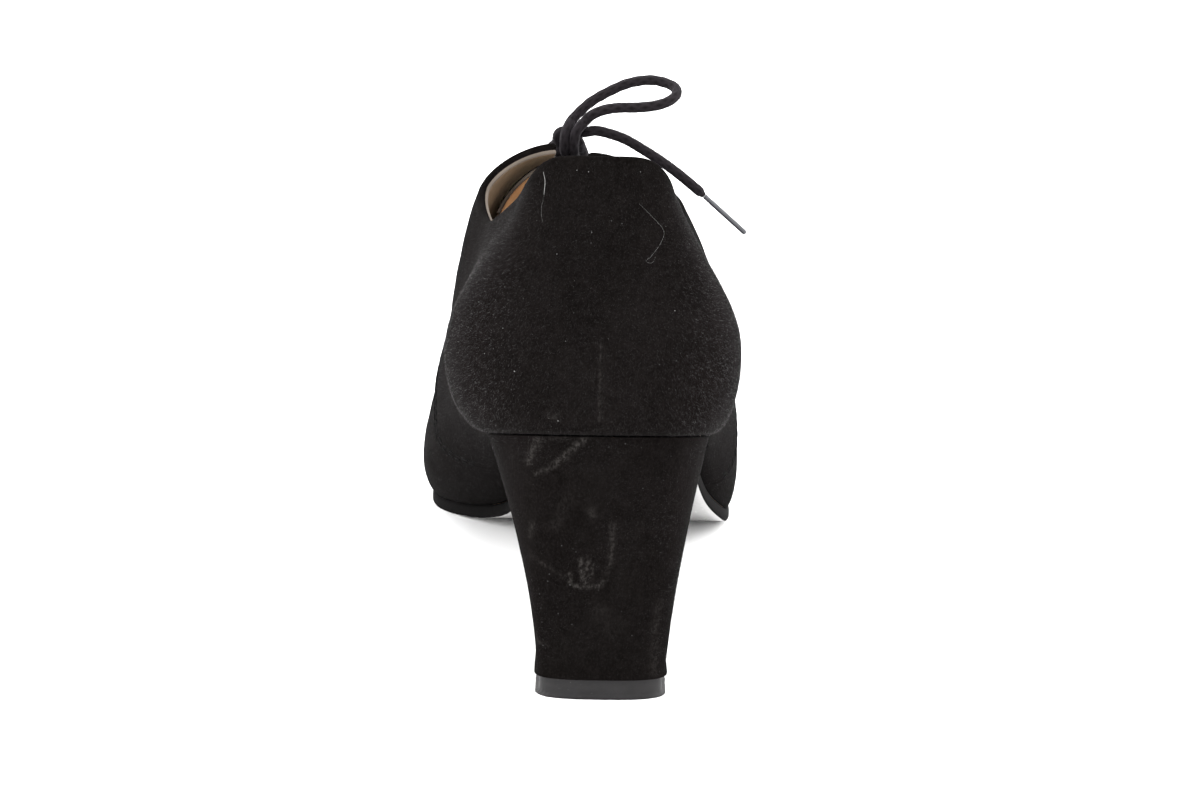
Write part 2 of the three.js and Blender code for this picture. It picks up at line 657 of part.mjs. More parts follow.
function knotGeometry() {
  const ball = new THREE.SphereGeometry(0.5, 12, 8);
  return ball.scale(knotSize.across, knotSize.along, knotSize.up).translate(...knotCentre.toArray());
}

// An aglet carries on past the end of its lace, in line with it.
function addAglet(name, laceName) {
  const [before, tip] = routePoints(laceName).slice(-2);
  const direction = tip.clone().sub(before).normalize();
  const middle = tip.clone().addScaledVector(direction, seam + agletLength / 2);
  aimed(addPiece(name, new THREE.CylinderGeometry(agletRadius, agletRadius, agletLength, 10), agletPlastic), middle, direction);
}

// Colours of the finished shoe
const finish = (color, roughness) => new THREE.MeshStandardMaterial({ color, roughness, metalness: 0 });
const suede = finish(0x1b191a, 0.95);
const tanLeather = finish(0xb58a5e, 0.6);
const soleLeather = finish(0x141313, 0.45);
const rubber = finish(0x2b2a2b, 0.55);
const enamel = finish(0x161616, 0.35);
const cordCotton = finish(0x231f24, 0.8);
const agletPlastic = finish(0x1d1d20, 0.4);

const shoe = new THREE.Group();
function addPiece(name, geometry, material) {
  const piece = new THREE.Mesh(geometry, material);
  piece.name = name;
  shoe.add(piece);
  return piece;
}

addPiece("upper", piercedUpper(), suede);
addPiece("tongue", tongueGeometry(), suede);
addPiece(
  "insole",
  bottomPiece({ from: 0, to: TOE, step: 0.6, margin: -insoleInset, top: insoleThickness, thickness: insoleThickness, bevel: 0 }),
  tanLeather,
);
addPiece(
  "outsole",
  bottomPiece({
    from: breastSection + breastGap, to: TOE, step: 0.4, margin: soleMargin, top: -seam, thickness: soleThickness,
    bevel: soleBevel, floor: true,
  }),
  soleLeather,
);
addPiece("heel", heelGeometry(), suede);
addPiece("heel_top_piece", topPieceGeometry(), rubber);
for (const eyelet of eyelets) {
  const side = eyelet.side > 0 ? "outer" : "inner";
  aimed(addPiece(`eyelet_${side}_${eyelet.pair + 1}`, eyeletGeometry(), enamel), eyelet.at, eyelet.normal);
}
addPiece("lace_crossings", crossingsGeometry(), cordCotton);

// The shoe's own pieces set the origin: the middle of their box, on the floor. What hangs free is left out of it.
const box = new THREE.Box3().setFromObject(shoe, true);
const middle = box.getCenter(new THREE.Vector3());

addPiece("lace_knot", knotGeometry(), cordCotton);
for (const name of Object.keys(ROUTES)) {
  const points = routePoints(name);
  const steps = Math.round(lengthOf(points) / (laceSpacing * 2 * laceRadius));
  addPiece(name, cordGeometry(points, laceRadius, steps), cordCotton);
}
addAglet("aglet_outer", "lace_end_outer");
addAglet("aglet_inner", "lace_end_inner");
shoe.position.set(-middle.x, -middle.y, -box.min.z);

export default shoe;
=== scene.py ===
"""Finish of a lace-up court shoe with a covered block heel, for the right foot.

Shapes are worked out in millimetres in the shoe's own axes: x to the outer side, y from the back of the
counter to the toe, z up from the floor. shoe_mesh moves them to the frame, in metres.
"""
import math

import bmesh
import bpy
import numpy as np
from mathutils import Matrix, Vector


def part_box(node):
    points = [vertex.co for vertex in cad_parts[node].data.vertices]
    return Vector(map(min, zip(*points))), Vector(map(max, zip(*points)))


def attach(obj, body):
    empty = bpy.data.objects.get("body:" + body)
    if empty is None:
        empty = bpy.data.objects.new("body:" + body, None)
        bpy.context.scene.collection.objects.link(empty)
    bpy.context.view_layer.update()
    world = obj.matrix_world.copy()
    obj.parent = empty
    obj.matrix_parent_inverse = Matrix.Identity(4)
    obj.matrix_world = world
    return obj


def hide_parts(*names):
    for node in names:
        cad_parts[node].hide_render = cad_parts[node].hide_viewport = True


bl_info = {
    "name": "Lace-up court shoe",
    "version": (1, 0, 0),
    "blender": (4, 5, 0),
    "location": "3D View > Sidebar > Shoe",
    "description": "Dresses the packed shoe in suede, leather, rubber and cord",
    "category": "Object",
}

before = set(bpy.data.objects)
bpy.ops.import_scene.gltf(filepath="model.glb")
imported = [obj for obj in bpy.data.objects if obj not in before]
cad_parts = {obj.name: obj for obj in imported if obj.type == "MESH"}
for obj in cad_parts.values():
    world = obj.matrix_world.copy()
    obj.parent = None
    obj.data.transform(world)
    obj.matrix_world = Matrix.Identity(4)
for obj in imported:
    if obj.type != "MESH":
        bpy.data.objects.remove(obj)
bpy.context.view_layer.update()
MM = 0.001

# Driving dimensions of the shoe, in millimetres
LENGTH = 246
BALL_WIDTH = 85
SEAT_HEIGHT = 57.8
INSTEP_HEIGHT = 80
WALL = 1.8
SEAM = 0.3
SOLE_THICKNESS = 3.2
SOLE_MARGIN = 0.6
SOLE_ROUNDING = 0.6
SOLE_SINK = 0.05  # the outsole's top lies this far under the feather line
INSOLE_THICKNESS = 2.2
SOCK_INSET = 0.7  # the sock stops this far inside the feather line, against the lining
BREAST_SECTION = 4.6
BREAST_GAP = 0.025
HEEL_FOOT = {"width": 27.4, "depth": 32, "back": 7, "side": 1.6, "round": 0.2, "squareness": 3.2}
HEEL_FLARE = {"outer": 1.25, "inner": 1.65}
TOP_PIECE = {"thickness": 4.1, "inset": 0.7, "bevel": 0.9}
COLLAR_BACK = 114.6
SLOT_HALF = 4.6
THROAT_TOP = 8.15
THROAT_END = 10.7
CORNER_ROUND = 0.05
TONGUE = {"thickness": 1.7, "reach": 23, "top": 7.85, "end": 11.2, "drop": 2.6, "seat": 0.7, "rise": 0.9,
          "spring": 0.6}
PANEL_STEP = 0.7
SEAM_FOOT = {"outer": 9.3, "inner": 8.3}
SEAM_TOP = 10.9
LASTING_TURN = 0.06
EYELET_PAIRS = 4
EYELET_REACH = 9.5
EYELET_FIRST = 8.6
EYELET_LAST = 10.05
EYELET = {"bore": 1.45, "barrel": 0.45, "flange": 2.7, "lip": 0.45}
LACE_RADIUS = 1.25
LACE_SIDES = 20
LACE_END_RUN = 1.6
STRAND_SLANT = 0.62  # turns round the lace to one along it
KNOT_UP = 5.6
AGLET = {"radius": 0.65, "length": 14}
NAP = {"length": 0.62, "width": 0.034}
PANEL_RAMP = 0.07  # sections over which the quarter's edge falls to the vamp

# One row for each section of the last, from the back seam to the tip of the toe. along, girth_along and
# crest_along are shares of the length; rise of the seat height; outer, inner, half and side of the ball
# width; up of the instep height. crown is 1 where the section closes flat over the crest, and full is 0
# where a side of it is slim and 1 where it is boxy.
COLUMNS = (
    "along", "rise", "feather_outer", "feather_inner", "girth_along", "girth_outer", "girth_inner",
    "girth_up", "crest_along", "crest_half", "crest_side", "crest_up", "crown", "full_outer", "full_inner",
)
ROWS = np.array([
    [0.022, 1.0, 0, 0, 0.0, 0, 0, 0.21, 0.033, 0, 0, 0.755, 0, 0, 0],
    [0.033, 0.99, 0.145, 0.145, 0.016, 0.18, 0.18, 0.21, 0.036, 0.112, 0, 0.76, 0, 0, 0],
    [0.068, 0.957, 0.24, 0.24, 0.063, 0.305, 0.315, 0.215, 0.053, 0.154, 0, 0.775, 0, 0, 0],
    [0.12, 0.908, 0.28, 0.275, 0.13, 0.354, 0.375, 0.22, 0.09, 0.16, -0.005, 0.81, 0, 0, 0],
    [0.185, 0.845, 0.295, 0.272, 0.195, 0.363, 0.382, 0.22, 0.15, 0.166, -0.02, 0.87, 0, 0, 0],
    [0.25, 0.77, 0.287, 0.256, 0.257, 0.36, 0.378, 0.215, 0.217, 0.18, -0.04, 0.925, 0.12, 0, 0.1],
    [0.31, 0.67, 0.281, 0.24, 0.314, 0.36, 0.383, 0.21, 0.28, 0.13, -0.055, 0.945, 0.62, 0.12, 0.45],
    [0.36, 0.575, 0.283, 0.228, 0.363, 0.366, 0.395, 0.2, 0.335, 0.05, -0.062, 0.963, 1, 0.3, 0.85],
    [0.405, 0.48, 0.294, 0.223, 0.407, 0.378, 0.413, 0.19, 0.385, 0, -0.075, 0.982, 1, 0.4, 0.75],
    [0.45, 0.378, 0.312, 0.225, 0.451, 0.393, 0.44, 0.185, 0.433, 0, -0.088, 0.95, 1, 0.45, 0.58],
    [0.5, 0.262, 0.343, 0.237, 0.501, 0.412, 0.474, 0.178, 0.486, 0, -0.098, 0.89, 1, 0.45, 0.5],
    [0.555, 0.152, 0.386, 0.278, 0.555, 0.43, 0.508, 0.168, 0.543, 0, -0.105, 0.805, 1, 0.45, 0.45],
    [0.61, 0.08, 0.412, 0.382, 0.61, 0.44, 0.53, 0.158, 0.6, 0, -0.11, 0.708, 1, 0.45, 0.45],
    [0.665, 0.06, 0.415, 0.492, 0.665, 0.43, 0.54, 0.15, 0.658, 0, -0.113, 0.596, 1, 0.45, 0.45],
    [0.72, 0.06, 0.378, 0.508, 0.72, 0.4, 0.526, 0.145, 0.714, 0, -0.115, 0.488, 1, 0.45, 0.45],
    [0.775, 0.065, 0.322, 0.474, 0.776, 0.348, 0.49, 0.14, 0.769, 0, -0.115, 0.4, 1, 0.45, 0.45],
    [0.83, 0.08, 0.25, 0.412, 0.833, 0.282, 0.438, 0.135, 0.822, 0, -0.114, 0.337, 1, 0.45, 0.45],
    [0.882, 0.101, 0.174, 0.336, 0.888, 0.202, 0.368, 0.13, 0.87, 0, -0.112, 0.292, 1, 0.45, 0.45],
    [0.926, 0.125, 0.085, 0.258, 0.937, 0.108, 0.283, 0.125, 0.91, 0, -0.11, 0.26, 1, 0.45, 0.45],
    [0.962, 0.146, -0.002, 0.172, 0.977, 0.012, 0.188, 0.12, 0.938, 0, -0.108, 0.236, 1, 0.45, 0.45],
    [0.98, 0.156, -0.106, 0.106, 1.0, -0.106, 0.106, 0.118, 0.95, 0, -0.106, 0.225, 1, 0.45, 0.45],
])
SECTIONS = {name: ROWS[:, i] for i, name in enumerate(COLUMNS)}
TOE = len(ROWS) - 1
AROUND = 2 * TOE  # section numbers run out along the outer side and back along the inner side
# Height of the collar at sections 0 to 9, as shares of its height at the back seam
COLLAR = {
    "outer": np.array([1, 0.995, 0.96, 0.921, 0.863, 0.816, 0.8, 0.835, 0.9, 0.95]),
    "inner": np.array([1, 0.995, 0.96, 0.921, 0.863, 0.82, 0.812, 0.858, 0.946, 0.96]),
}
FOOT_REACH = 0.62
FOOT_LIFT = 0.12
UNDERSIDE_TURN = 0.55
SIDE_TURN = (0.31, 0.75)
CREST_TURN = (0.42, 0.8)
COLLAR_TURN = 0.42
GIRTH_SHARE = 0.28
CREST_JOINS = 8

# Routes of the bow, from the knot's centre: across, along and up
ROUTES = {
    "lace_loop_outer": [
        (0.2, 1, 3.8), (1.7, 1.8, 5.4), (4.6, 2.7, 8), (8.5, 3.6, 10.3), (13.5, 4.4, 12.5), (18.5, 4.6, 13.4),
        (22.2, 3.8, 13), (24.8, 1.8, 12), (25.2, -0.8, 10.6), (23.4, -3, 9.2), (20.2, -4, 8.2),
        (16, -4.1, 7.7), (11.4, -3.6, 7.5), (7.8, -2.9, 6.8), (5, -2.3, 5.5), (3.4, -1.6, 3.9),
    ],
    "lace_end_outer": [
        (4.1, 0.4, 1.2), (5.8, 0.6, 1.5), (8.6, 0.9, 1), (13, 1.5, -0.5), (17.4, 2.1, -3), (21.8, 2.8, -5.8),
        (26.2, 3.4, -9), (30.6, 4, -12.6), (32.5, 4.3, -14.3),
    ],
    "lace_loop_inner": [
        (-2.8, 3.2, -1.2), (-5.6, 8, -4.6), (-10, 15.5, -10.8), (-14.8, 23, -18.6), (-16.2, 28.4, -24),
        (-12.8, 31.6, -26.8), (-8, 30, -25), (-5.4, 24.4, -19), (-3.8, 17, -12.2), (-1.8, 10, -6.2),
        (-0.9, 4.4, -1.8),
    ],
    "lace_end_inner": [
        (2, 3.6, -1.4), (3.4, 9, -5.6), (5.6, 17, -12.6), (8.8, 25, -20.5), (12, 32, -28),
        (14.5, 36.5, -32.8),
    ],
}
# Strands of the knot itself, which run on into the loops and the ends
KNOT_STRANDS = [
    [(-0.6, 1.4, -4.4), (-1.3, -0.8, -3.3), (-1.35, -1.9, -1.2), (-1.2, -1.9, 0.8), (-0.6, -0.7, 2.5),
     (0.2, 1.0, 3.8), (1.2, 1.6, 4.9)],
    [(1.0, 1.4, -4.4), (0.85, -0.8, -3.4), (0.9, -2.0, -1.2), (1.2, -2.4, 0.8), (2.1, -2.2, 2.5),
     (3.4, -1.6, 3.9), (4.6, -2.2, 5.2)],
    [(-0.2, 2.2, -3.4), (0.6, 1.2, -2.9), (0.9, 0.8, -1.7), (0.6, 1.1, -0.4), (-0.2, 1.3, 0.8),
     (-1.9, 0.7, 1.2), (-3.0, 0.2, 0.5), (-3.1, 0.5, -1.0), (-1.9, 1.6, -2.2), (-0.4, 2.4, -2.6)],
    [(5.6, 0.6, 1.5), (4.1, 0.4, 1.2), (2.6, 0.9, 1.0), (0.8, 2.4, 0.9), (-1.0, 3.0, 0.2), (-2.2, 2.6, -1.4)],
    [(-3.6, 4.6, -2.2), (-2.6, 3.0, -1.1), (-1.0, 2.0, -0.4), (1.0, 1.8, -1.6)],
    [(-1.2, 6.0, -3.2), (-0.9, 4.2, -1.7), (0.0, 2.8, -0.6), (0.9, 2.2, 0.6)],
    [(2.7, 6.2, -3.5), (2.0, 3.8, -1.5), (1.0, 2.6, 0.1), (-0.6, 2.2, 0.8)],
]

# Flex creases of the vamp: section number, reach from the crest, half length across, width and depth
CREASES = [
    (12.0, 6, 27, 1.9, 0.55),
    (12.55, -7, 30, 2.3, 0.8),
    (13.05, 3, 30, 2.0, 0.6),
    (13.6, -12, 22, 2.2, 0.5),
    (11.5, 20, 14, 1.8, 0.4),
    (14.1, 8, 16, 2.0, 0.3),
]
# Slack of the quarters: section number round the shoe, share of the height, radius and depth
DENTS = [
    (5.6, 0.62, 15, 0.7),
    (34.6, 0.6, 16, 0.8),
    (36.9, 0.8, 8, 0.45),
    (2.6, 0.86, 7, 0.3),
    (8.2, 0.4, 13, 0.5),
    (32.2, 0.45, 12, -0.45),
]
# Rubbed places on the back of the heel: strokes through points across and up, with their width and strength
SCUFFS = [
    (0.9, 0.7, [(-12.6, 55.6), (-13.3, 54.2), (-13.6, 52.4), (-14.2, 50.8)]),
    (1.4, 0.55, [(-11.8, 55.9), (-12.8, 54.8)]),
    (0.6, 0.3, [(-11.2, 56.2), (-8.0, 57.0), (-4.6, 56.9)]),
    (0.9, 0.8, [(-2.4, 57.0), (-5.6, 54.0), (-8.8, 51.0)]),
    (0.7, 0.6, [(-8.8, 51.0), (-12.2, 48.6)]),
    (1.0, 0.4, [(-1.0, 41.6), (-0.6, 40.2)]),
    (0.8, 0.5, [(3.6, 38.4), (3.5, 34.0), (3.1, 29.6)]),
    (0.7, 0.35, [(3.1, 29.6), (2.5, 27.4)]),
    (0.55, 0.7, [(-5.0, 25.6), (-4.2, 25.0), (-1.4, 24.8), (1.2, 25.2), (2.0, 26.4)]),
    (0.5, 0.7, [(-5.2, 27.6), (-4.9, 25.6)]),
    (0.5, 0.85, [(-3.0, 31.0), (-2.6, 26.4)]),
    (0.45, 0.7, [(-1.3, 31.2), (-1.9, 27.6), (-1.8, 25.4)]),
    (0.45, 0.5, [(-0.3, 29.8), (-0.8, 26.6)]),
    (0.7, 0.4, [(-13.2, 37.4), (-13.5, 34.4)]),
    (0.4, 0.35, [(-13.4, 30.4), (-9.4, 28.6), (-6.6, 26.8)]),
    (1.3, 0.26, [(12.8, 15.6), (13.0, 10.6), (12.8, 5.4)]),
    (1.2, 0.24, [(13.6, 20.6), (13.2, 15.6)]),
    (0.5, 0.4, [(-12.2, 13.0), (-11.8, 11.6), (-9.8, 11.4)]),
    (2.4, 0.16, [(1.0, 20.0), (4.0, 16.0)]),
    (2.0, 0.14, [(-6.0, 44.0), (-8.0, 38.0)]),
    (0.35, 0.42, [(0.45, 62.0), (0.5, 78.0)]),
    (0.3, 0.1, [(1.35, 60.0), (1.3, 76.0)]),
    (0.8, 0.5, [(-9.8, 62.6), (-8.4, 62.0)]),
    (0.5, 0.4, [(-8.6, 62.2), (-7.9, 63.0)]),
]
# Pale fibres and flecks on the back of the upper and the heel: across and up, with their radius
FIBRES = [
    (0.06, [(-11.6, 111.8), (-11.3, 110.6), (-11.2, 109.6), (-11.4, 107.2)]),
    (0.01, [(-11.4, 107.0), (-11.9, 104.2), (-11.6, 101.6)]),
    (0.012, [(7.9, 105.9), (10.5, 103.3), (13.0, 100.4), (12.6, 98.1), (11.4, 96.4), (10.4, 95.2),
             (9.4, 94.5), (10.7, 94.0), (11.5, 95.2)]),
    (0.02, [(-3.6, 19.0), (-3.1, 18.0), (-3.4, 16.9), (-4.3, 15.9)]),
]
FLECKS = [
    (-4.7, 112.3, 0.16), (-2.3, 112.2, 0.2), (8.2, 112.1, 0.15), (-8.5, 95.7, 0.2), (-1.5, 100.1, 0.11),
    (-19.4, 79.8, 0.19), (-16.8, 71.2, 0.23), (-24.7, 83.6, 0.14), (-23.2, 73.8, 0.14), (-6.5, 78.6, 0.12),
    (15.5, 84.3, 0.18), (-8.1, 61.4, 0.22), (-16.0, 92.0, 0.09), (21.4, 79.0, 0.09),
]


def mix(a, b, t):
    """a where t is 0 and b where t is 1."""
    return a + (b - a) * t


def smooth(t):
    """3t^2 - 2t^3, with t held between 0 and 1."""
    t = np.clip(t, 0, 1)
    return t * t * (3 - 2 * t)


def unit(vectors):
    """Each vector over its length."""
    return vectors / np.maximum(np.linalg.norm(vectors, axis=-1, keepdims=True), 1e-9)


def bell(distance, width):
    """exp(-(distance / width)^2): a soft ridge or trough."""
    return np.exp(-((distance / width) ** 2))


def ripple(points, size, seed):
    """A smooth unevenness between about -1 and 1: seven sine waves of random direction and phase."""
    draw = np.random.default_rng(seed)
    waves = unit(draw.normal(size=(7, 3))) * draw.uniform(0.6, 1.5, size=(7, 1)) * 2 * math.pi / size
    phases = draw.uniform(0, 2 * math.pi, size=7)
    return np.sin(points @ waves.T + phases).mean(axis=-1) * 1.6


def closed_spline(values):
    """A curve through evenly numbered values on a ring, one cubic to a span. Its slopes m solve
    m[i-1] + 4 m[i] + m[i+1] = 3 (p[i+1] - p[i-1]), which keeps the bend continuous."""
    values = np.asarray(values, dtype=float)
    count = len(values)
    around = np.eye(count)
    system = 4 * around + np.roll(around, 1, axis=0) + np.roll(around, -1, axis=0)
    slopes = np.linalg.solve(system, 3 * (np.roll(values, -1) - np.roll(values, 1)))

    def at(u):
        span = np.floor(u).astype(int)
        t = u - span
        a, b = values[span % count], values[(span + 1) % count]
        start, end = slopes[span % count], slopes[(span + 1) % count]
        return a + t * start + t * t * (3 * (b - a) - 2 * start - end) + t ** 3 * (2 * (a - b) + start + end)

    return at


def around(outer, inner):
    """The spline down the outer side's values and back along the inner side's."""
    return closed_spline(np.concatenate([outer, inner[1:TOE][::-1]]))


def both(values):
    """The spline of values that the two sides share."""
    return around(values, values)


FLAT_RISE = SECTIONS["rise"].min()
SOLE_TOP = (
    SOLE_THICKNESS + SEAM
    + (SEAT_HEIGHT - SOLE_THICKNESS - SEAM) * (SECTIONS["rise"] - FLAT_RISE) / (1 - FLAT_RISE)
)
RAILS = {
    "feather": (
        around(SECTIONS["feather_outer"] * BALL_WIDTH, -SECTIONS["feather_inner"] * BALL_WIDTH),
        both(SECTIONS["along"] * LENGTH),
        both(SOLE_TOP),
    ),
    "girth": (
        around(SECTIONS["girth_outer"] * BALL_WIDTH, -SECTIONS["girth_inner"] * BALL_WIDTH),
        both(SECTIONS["girth_along"] * LENGTH),
        both(SOLE_TOP + SECTIONS["girth_up"] * INSTEP_HEIGHT),
    ),
    "crest": (
        around(
            (SECTIONS["crest_side"] + SECTIONS["crest_half"]) * BALL_WIDTH,
            (SECTIONS["crest_side"] - SECTIONS["crest_half"]) * BALL_WIDTH,
        ),
        both(SECTIONS["crest_along"] * LENGTH),
        both(SOLE_TOP + SECTIONS["crest_up"] * INSTEP_HEIGHT),
    ),
}
CREST_SIDE = both(SECTIONS["crest_side"] * BALL_WIDTH)
CROWN = both(SECTIONS["crown"])
FULL = around(SECTIONS["full_outer"], SECTIONS["full_inner"])
COLLAR_HEIGHT = closed_spline(np.concatenate([COLLAR["outer"], COLLAR["inner"][:0:-1]]) * COLLAR_BACK)


def section_of(u):
    """The section number, on either side."""
    return np.where(u > TOE, AROUND - u, u)


def side_of(u):
    return np.where(u > TOE, -1, 1)


def rail_point(rail, u):
    return np.stack([axis(u) for axis in RAILS[rail]], axis=-1)


def section_curves(u):
    """Control points of a section's two cubics: feather to girth, and girth to crest."""
    feather, girth, crest = (rail_point(rail, u) for rail in ("feather", "girth", "crest"))
    opened = 1 - smooth(section_of(u) - (CREST_JOINS - 1))
    crest[..., 0] = mix(CREST_SIDE(u), crest[..., 0], opened)
    flat = np.array([1, 1, 0])
    upright = np.array([0, 0, 1])
    up = (girth - feather)[..., 2:]
    rise = (crest - girth)[..., 2:]
    full = FULL(u)[..., None]
    crown = np.clip(CROWN(u), 0, 1)[..., None]
    level = (girth - crest)[..., :1] * mix(*CREST_TURN, full) * np.array([1, 0, 0])
    steep = -rise * COLLAR_TURN * upright
    lower = (
        feather,
        feather + (girth - feather) * flat * FOOT_REACH + up * FOOT_LIFT * upright,
        girth - up * UNDERSIDE_TURN * upright,
        girth,
    )
    upper = (girth, girth + rise * mix(*SIDE_TURN, full) * upright, crest + mix(steep, level, crown), crest)
    return lower, upper


def cubic(points, t):
    a, b, c, d = points
    s = 1 - t
    return s ** 3 * a + 3 * s * s * t * b + 3 * s * t * t * c + t ** 3 * d


def cubic_slope(points, t):
    a, b, c, d = points
    s = 1 - t
    return 3 * s * s * (b - a) + 6 * s * t * (c - b) + 3 * t * t * (d - c)


def skin(u, v, curve=cubic):
    """The last's skin at u round the foot and v from the feather line, 0, to the crest, 1: a cubic from
    feather to girth up to the girth share of v, and a second one from girth to crest above it."""
    u, v = np.broadcast_arrays(np.asarray(u, dtype=float), np.asarray(v, dtype=float))
    lower, upper = section_curves(u)
    low = curve(lower, (v / GIRTH_SHARE)[..., None])
    high = curve(upper, ((v - GIRTH_SHARE) / (1 - GIRTH_SHARE))[..., None])
    return np.where((v < GIRTH_SHARE)[..., None], low, high)


def skin_normal(u, v):
    """The unit cross product of the skin's slopes round the foot and up it. On the closed crest it is the
    mean of both sides' normals."""
    u, v = np.broadcast_arrays(np.asarray(u, dtype=float), np.asarray(v, dtype=float))
    nudge = 0.01

    def plain(at):
        onward = skin(at + nudge, v) - skin(at - nudge, v)
        return unit(np.cross(onward, skin(at, v, cubic_slope)))

    crest = (v > 0.9999) & (section_of(u) > CREST_JOINS - 0.001)
    normal = plain(u)
    return np.where(crest[..., None], unit(normal + plain(AROUND - u)), normal)


def panel_height(u, v, ramp):
    """The step of the quarter over the vamp: its height times a smooth ramp, in sections, at the seam."""
    foot = np.where(side_of(u) > 0, SEAM_FOOT["outer"], SEAM_FOOT["inner"])
    return PANEL_STEP * smooth(0.5 + seam_distance(u, v, foot) / ramp) * np.clip(v / LASTING_TURN, 0, 1)


def seam_distance(u, v, foot):
    """Sections from a place to the quarter's edge, which runs from the sole up and forward as (1 - v)^3."""
    return mix(SEAM_TOP, foot, (1 - v) ** 3) - section_of(u)


def solve_up(u, measure, target):
    """The v between the girth and the crest at which measure, which shrinks upwards, comes down to target."""
    low = np.full(np.shape(u), GIRTH_SHARE)
    high = np.ones(np.shape(u))
    for _ in range(26):
        middle = (low + high) / 2
        over = measure(skin(u, middle)) > target
        low = np.where(over, middle, low)
        high = np.where(over, high, middle)
    return (low + high) / 2


def at_reach(u, reach):
    side = CREST_SIDE(u)
    return solve_up(u, lambda point: np.abs(point[..., 0] - side), reach)


def at_height(u, height):
    return solve_up(u, lambda point: -point[..., 2], -height)


def top_edge(u):
    """The v of the upper's top edge: the collar, then the facing's edge beside the slot, whose half width
    shrinks as a square root, then the closed crest."""
    section = section_of(u)
    gap = SLOT_HALF * np.sqrt(np.clip((THROAT_END - section) / (THROAT_END - THROAT_TOP), 0, 1))
    facing = np.where(section > CREST_JOINS - 0.5, at_reach(u, gap), 1)
    last = len(COLLAR["outer"]) - 1
    height = COLLAR_HEIGHT(side_of(u) * np.minimum(section, last))
    collar = np.where(section < last, at_height(u, height), 1)
    h = np.clip(0.5 + (facing - collar) / (2 * CORNER_ROUND), 0, 1)
    cornered = np.minimum(facing, mix(facing, collar, h) - CORNER_ROUND * h * (1 - h))
    edge = np.where(section <= THROAT_TOP - 1.5, collar, cornered)
    return np.where(section < THROAT_END - 0.001, edge, 1)


def over_instep(section, reach, lift):
    """A point lift over the upper at a section number and a reach from the crest, outer side positive."""
    section, reach, lift = np.broadcast_arrays(*(np.asarray(x, dtype=float) for x in (section, reach, lift)))
    u = np.where(reach >= 0, section, AROUND - section)
    v = np.where(np.abs(reach) < 0.05, 1, at_reach(u, np.abs(reach)))
    height = panel_height(u, v, 0.3) + lift
    return skin(u, v) + skin_normal(u, v) * height[..., None]


LACE_LIFT = SEAM + EYELET["lip"] + SEAM + LACE_RADIUS
KNOT_CENTRE = over_instep(EYELET_FIRST, 0, LACE_LIFT + LACE_RADIUS + SEAM + KNOT_UP / 2)
TOP_PIECE_LOW, TOP_PIECE_HIGH = (np.array(corner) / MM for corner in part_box("heel_top_piece"))
ORIGIN = np.array([
    (TOP_PIECE_LOW[0] + TOP_PIECE_HIGH[0]) / 2 - HEEL_FOOT["side"],
    TOP_PIECE_LOW[1] - HEEL_FOOT["back"] - TOP_PIECE["inset"] * HEEL_FOOT["depth"] / HEEL_FOOT["width"],
    0,
])


def stations(*spans):
    """Numbers from the first value on, in spans of (end, count)."""
    values = [np.array([spans[0]])]
    for end, count in spans[1:]:
        values.append(np.linspace(values[-1][-1], end, count + 1)[1:])
    return np.concatenate(values)


def grid(rows, columns, first=0, close=False):
    """Quads between neighbours on a grid whose point (row, column) has number first + row * columns + column,
    turned so that rows cross columns points out. close joins the last row to the first."""
    row = np.arange(rows if close else rows - 1)[:, None]
    column = np.arange(columns - 1)[None, :]
    onward = (row + 1) % rows
    corners = (row * columns + column, onward * columns + column, onward * columns + column + 1,
               row * columns + column + 1)
    return first + np.stack(np.broadcast_arrays(*corners), axis=-1).reshape(-1, 4)


class Build:
    """Grids of points gathered for one mesh, each with a finish number, values and a UV place per point."""

    def __init__(self):
        self.points = []
        self.faces = []
        self.finishes = []
        self.places = []
        self.values = {}
        self.count = 0

    def add(self, points, finish=0, close=False, flip=False, places=None, **values):
        """A grid of points, rows by columns by 3. close joins the last row to the first."""
        faces = grid(*points.shape[:2], self.count, close)
        self._take(points, faces[:, ::-1] if flip else faces, finish, places, values)

    def copies(self, points, faces, **values):
        """Many like closed shapes at once: points is copies by corners by 3, faces one copy's quads."""
        copies, corners = points.shape[:2]
        numbers = faces[None] + (self.count + corners * np.arange(copies))[:, None, None]
        self._take(points, numbers.reshape(-1, 4), 0, None, values)

    def _take(self, points, faces, finish, places, values):
        shape = points.shape[:2]
        count = shape[0] * shape[1]
        self.faces.append(faces)
        self.finishes.append(np.full(len(faces), finish))
        self.points.append(points.reshape(-1, 3))
        self.places.append(np.zeros((count, 2)) if places is None else places.reshape(-1, 2))
        for name in set(self.values) | set(values):
            earlier = self.values.setdefault(name, [np.zeros(self.count)])
            earlier.append(np.broadcast_to(values.get(name, 0), shape).reshape(-1))
        self.count += count


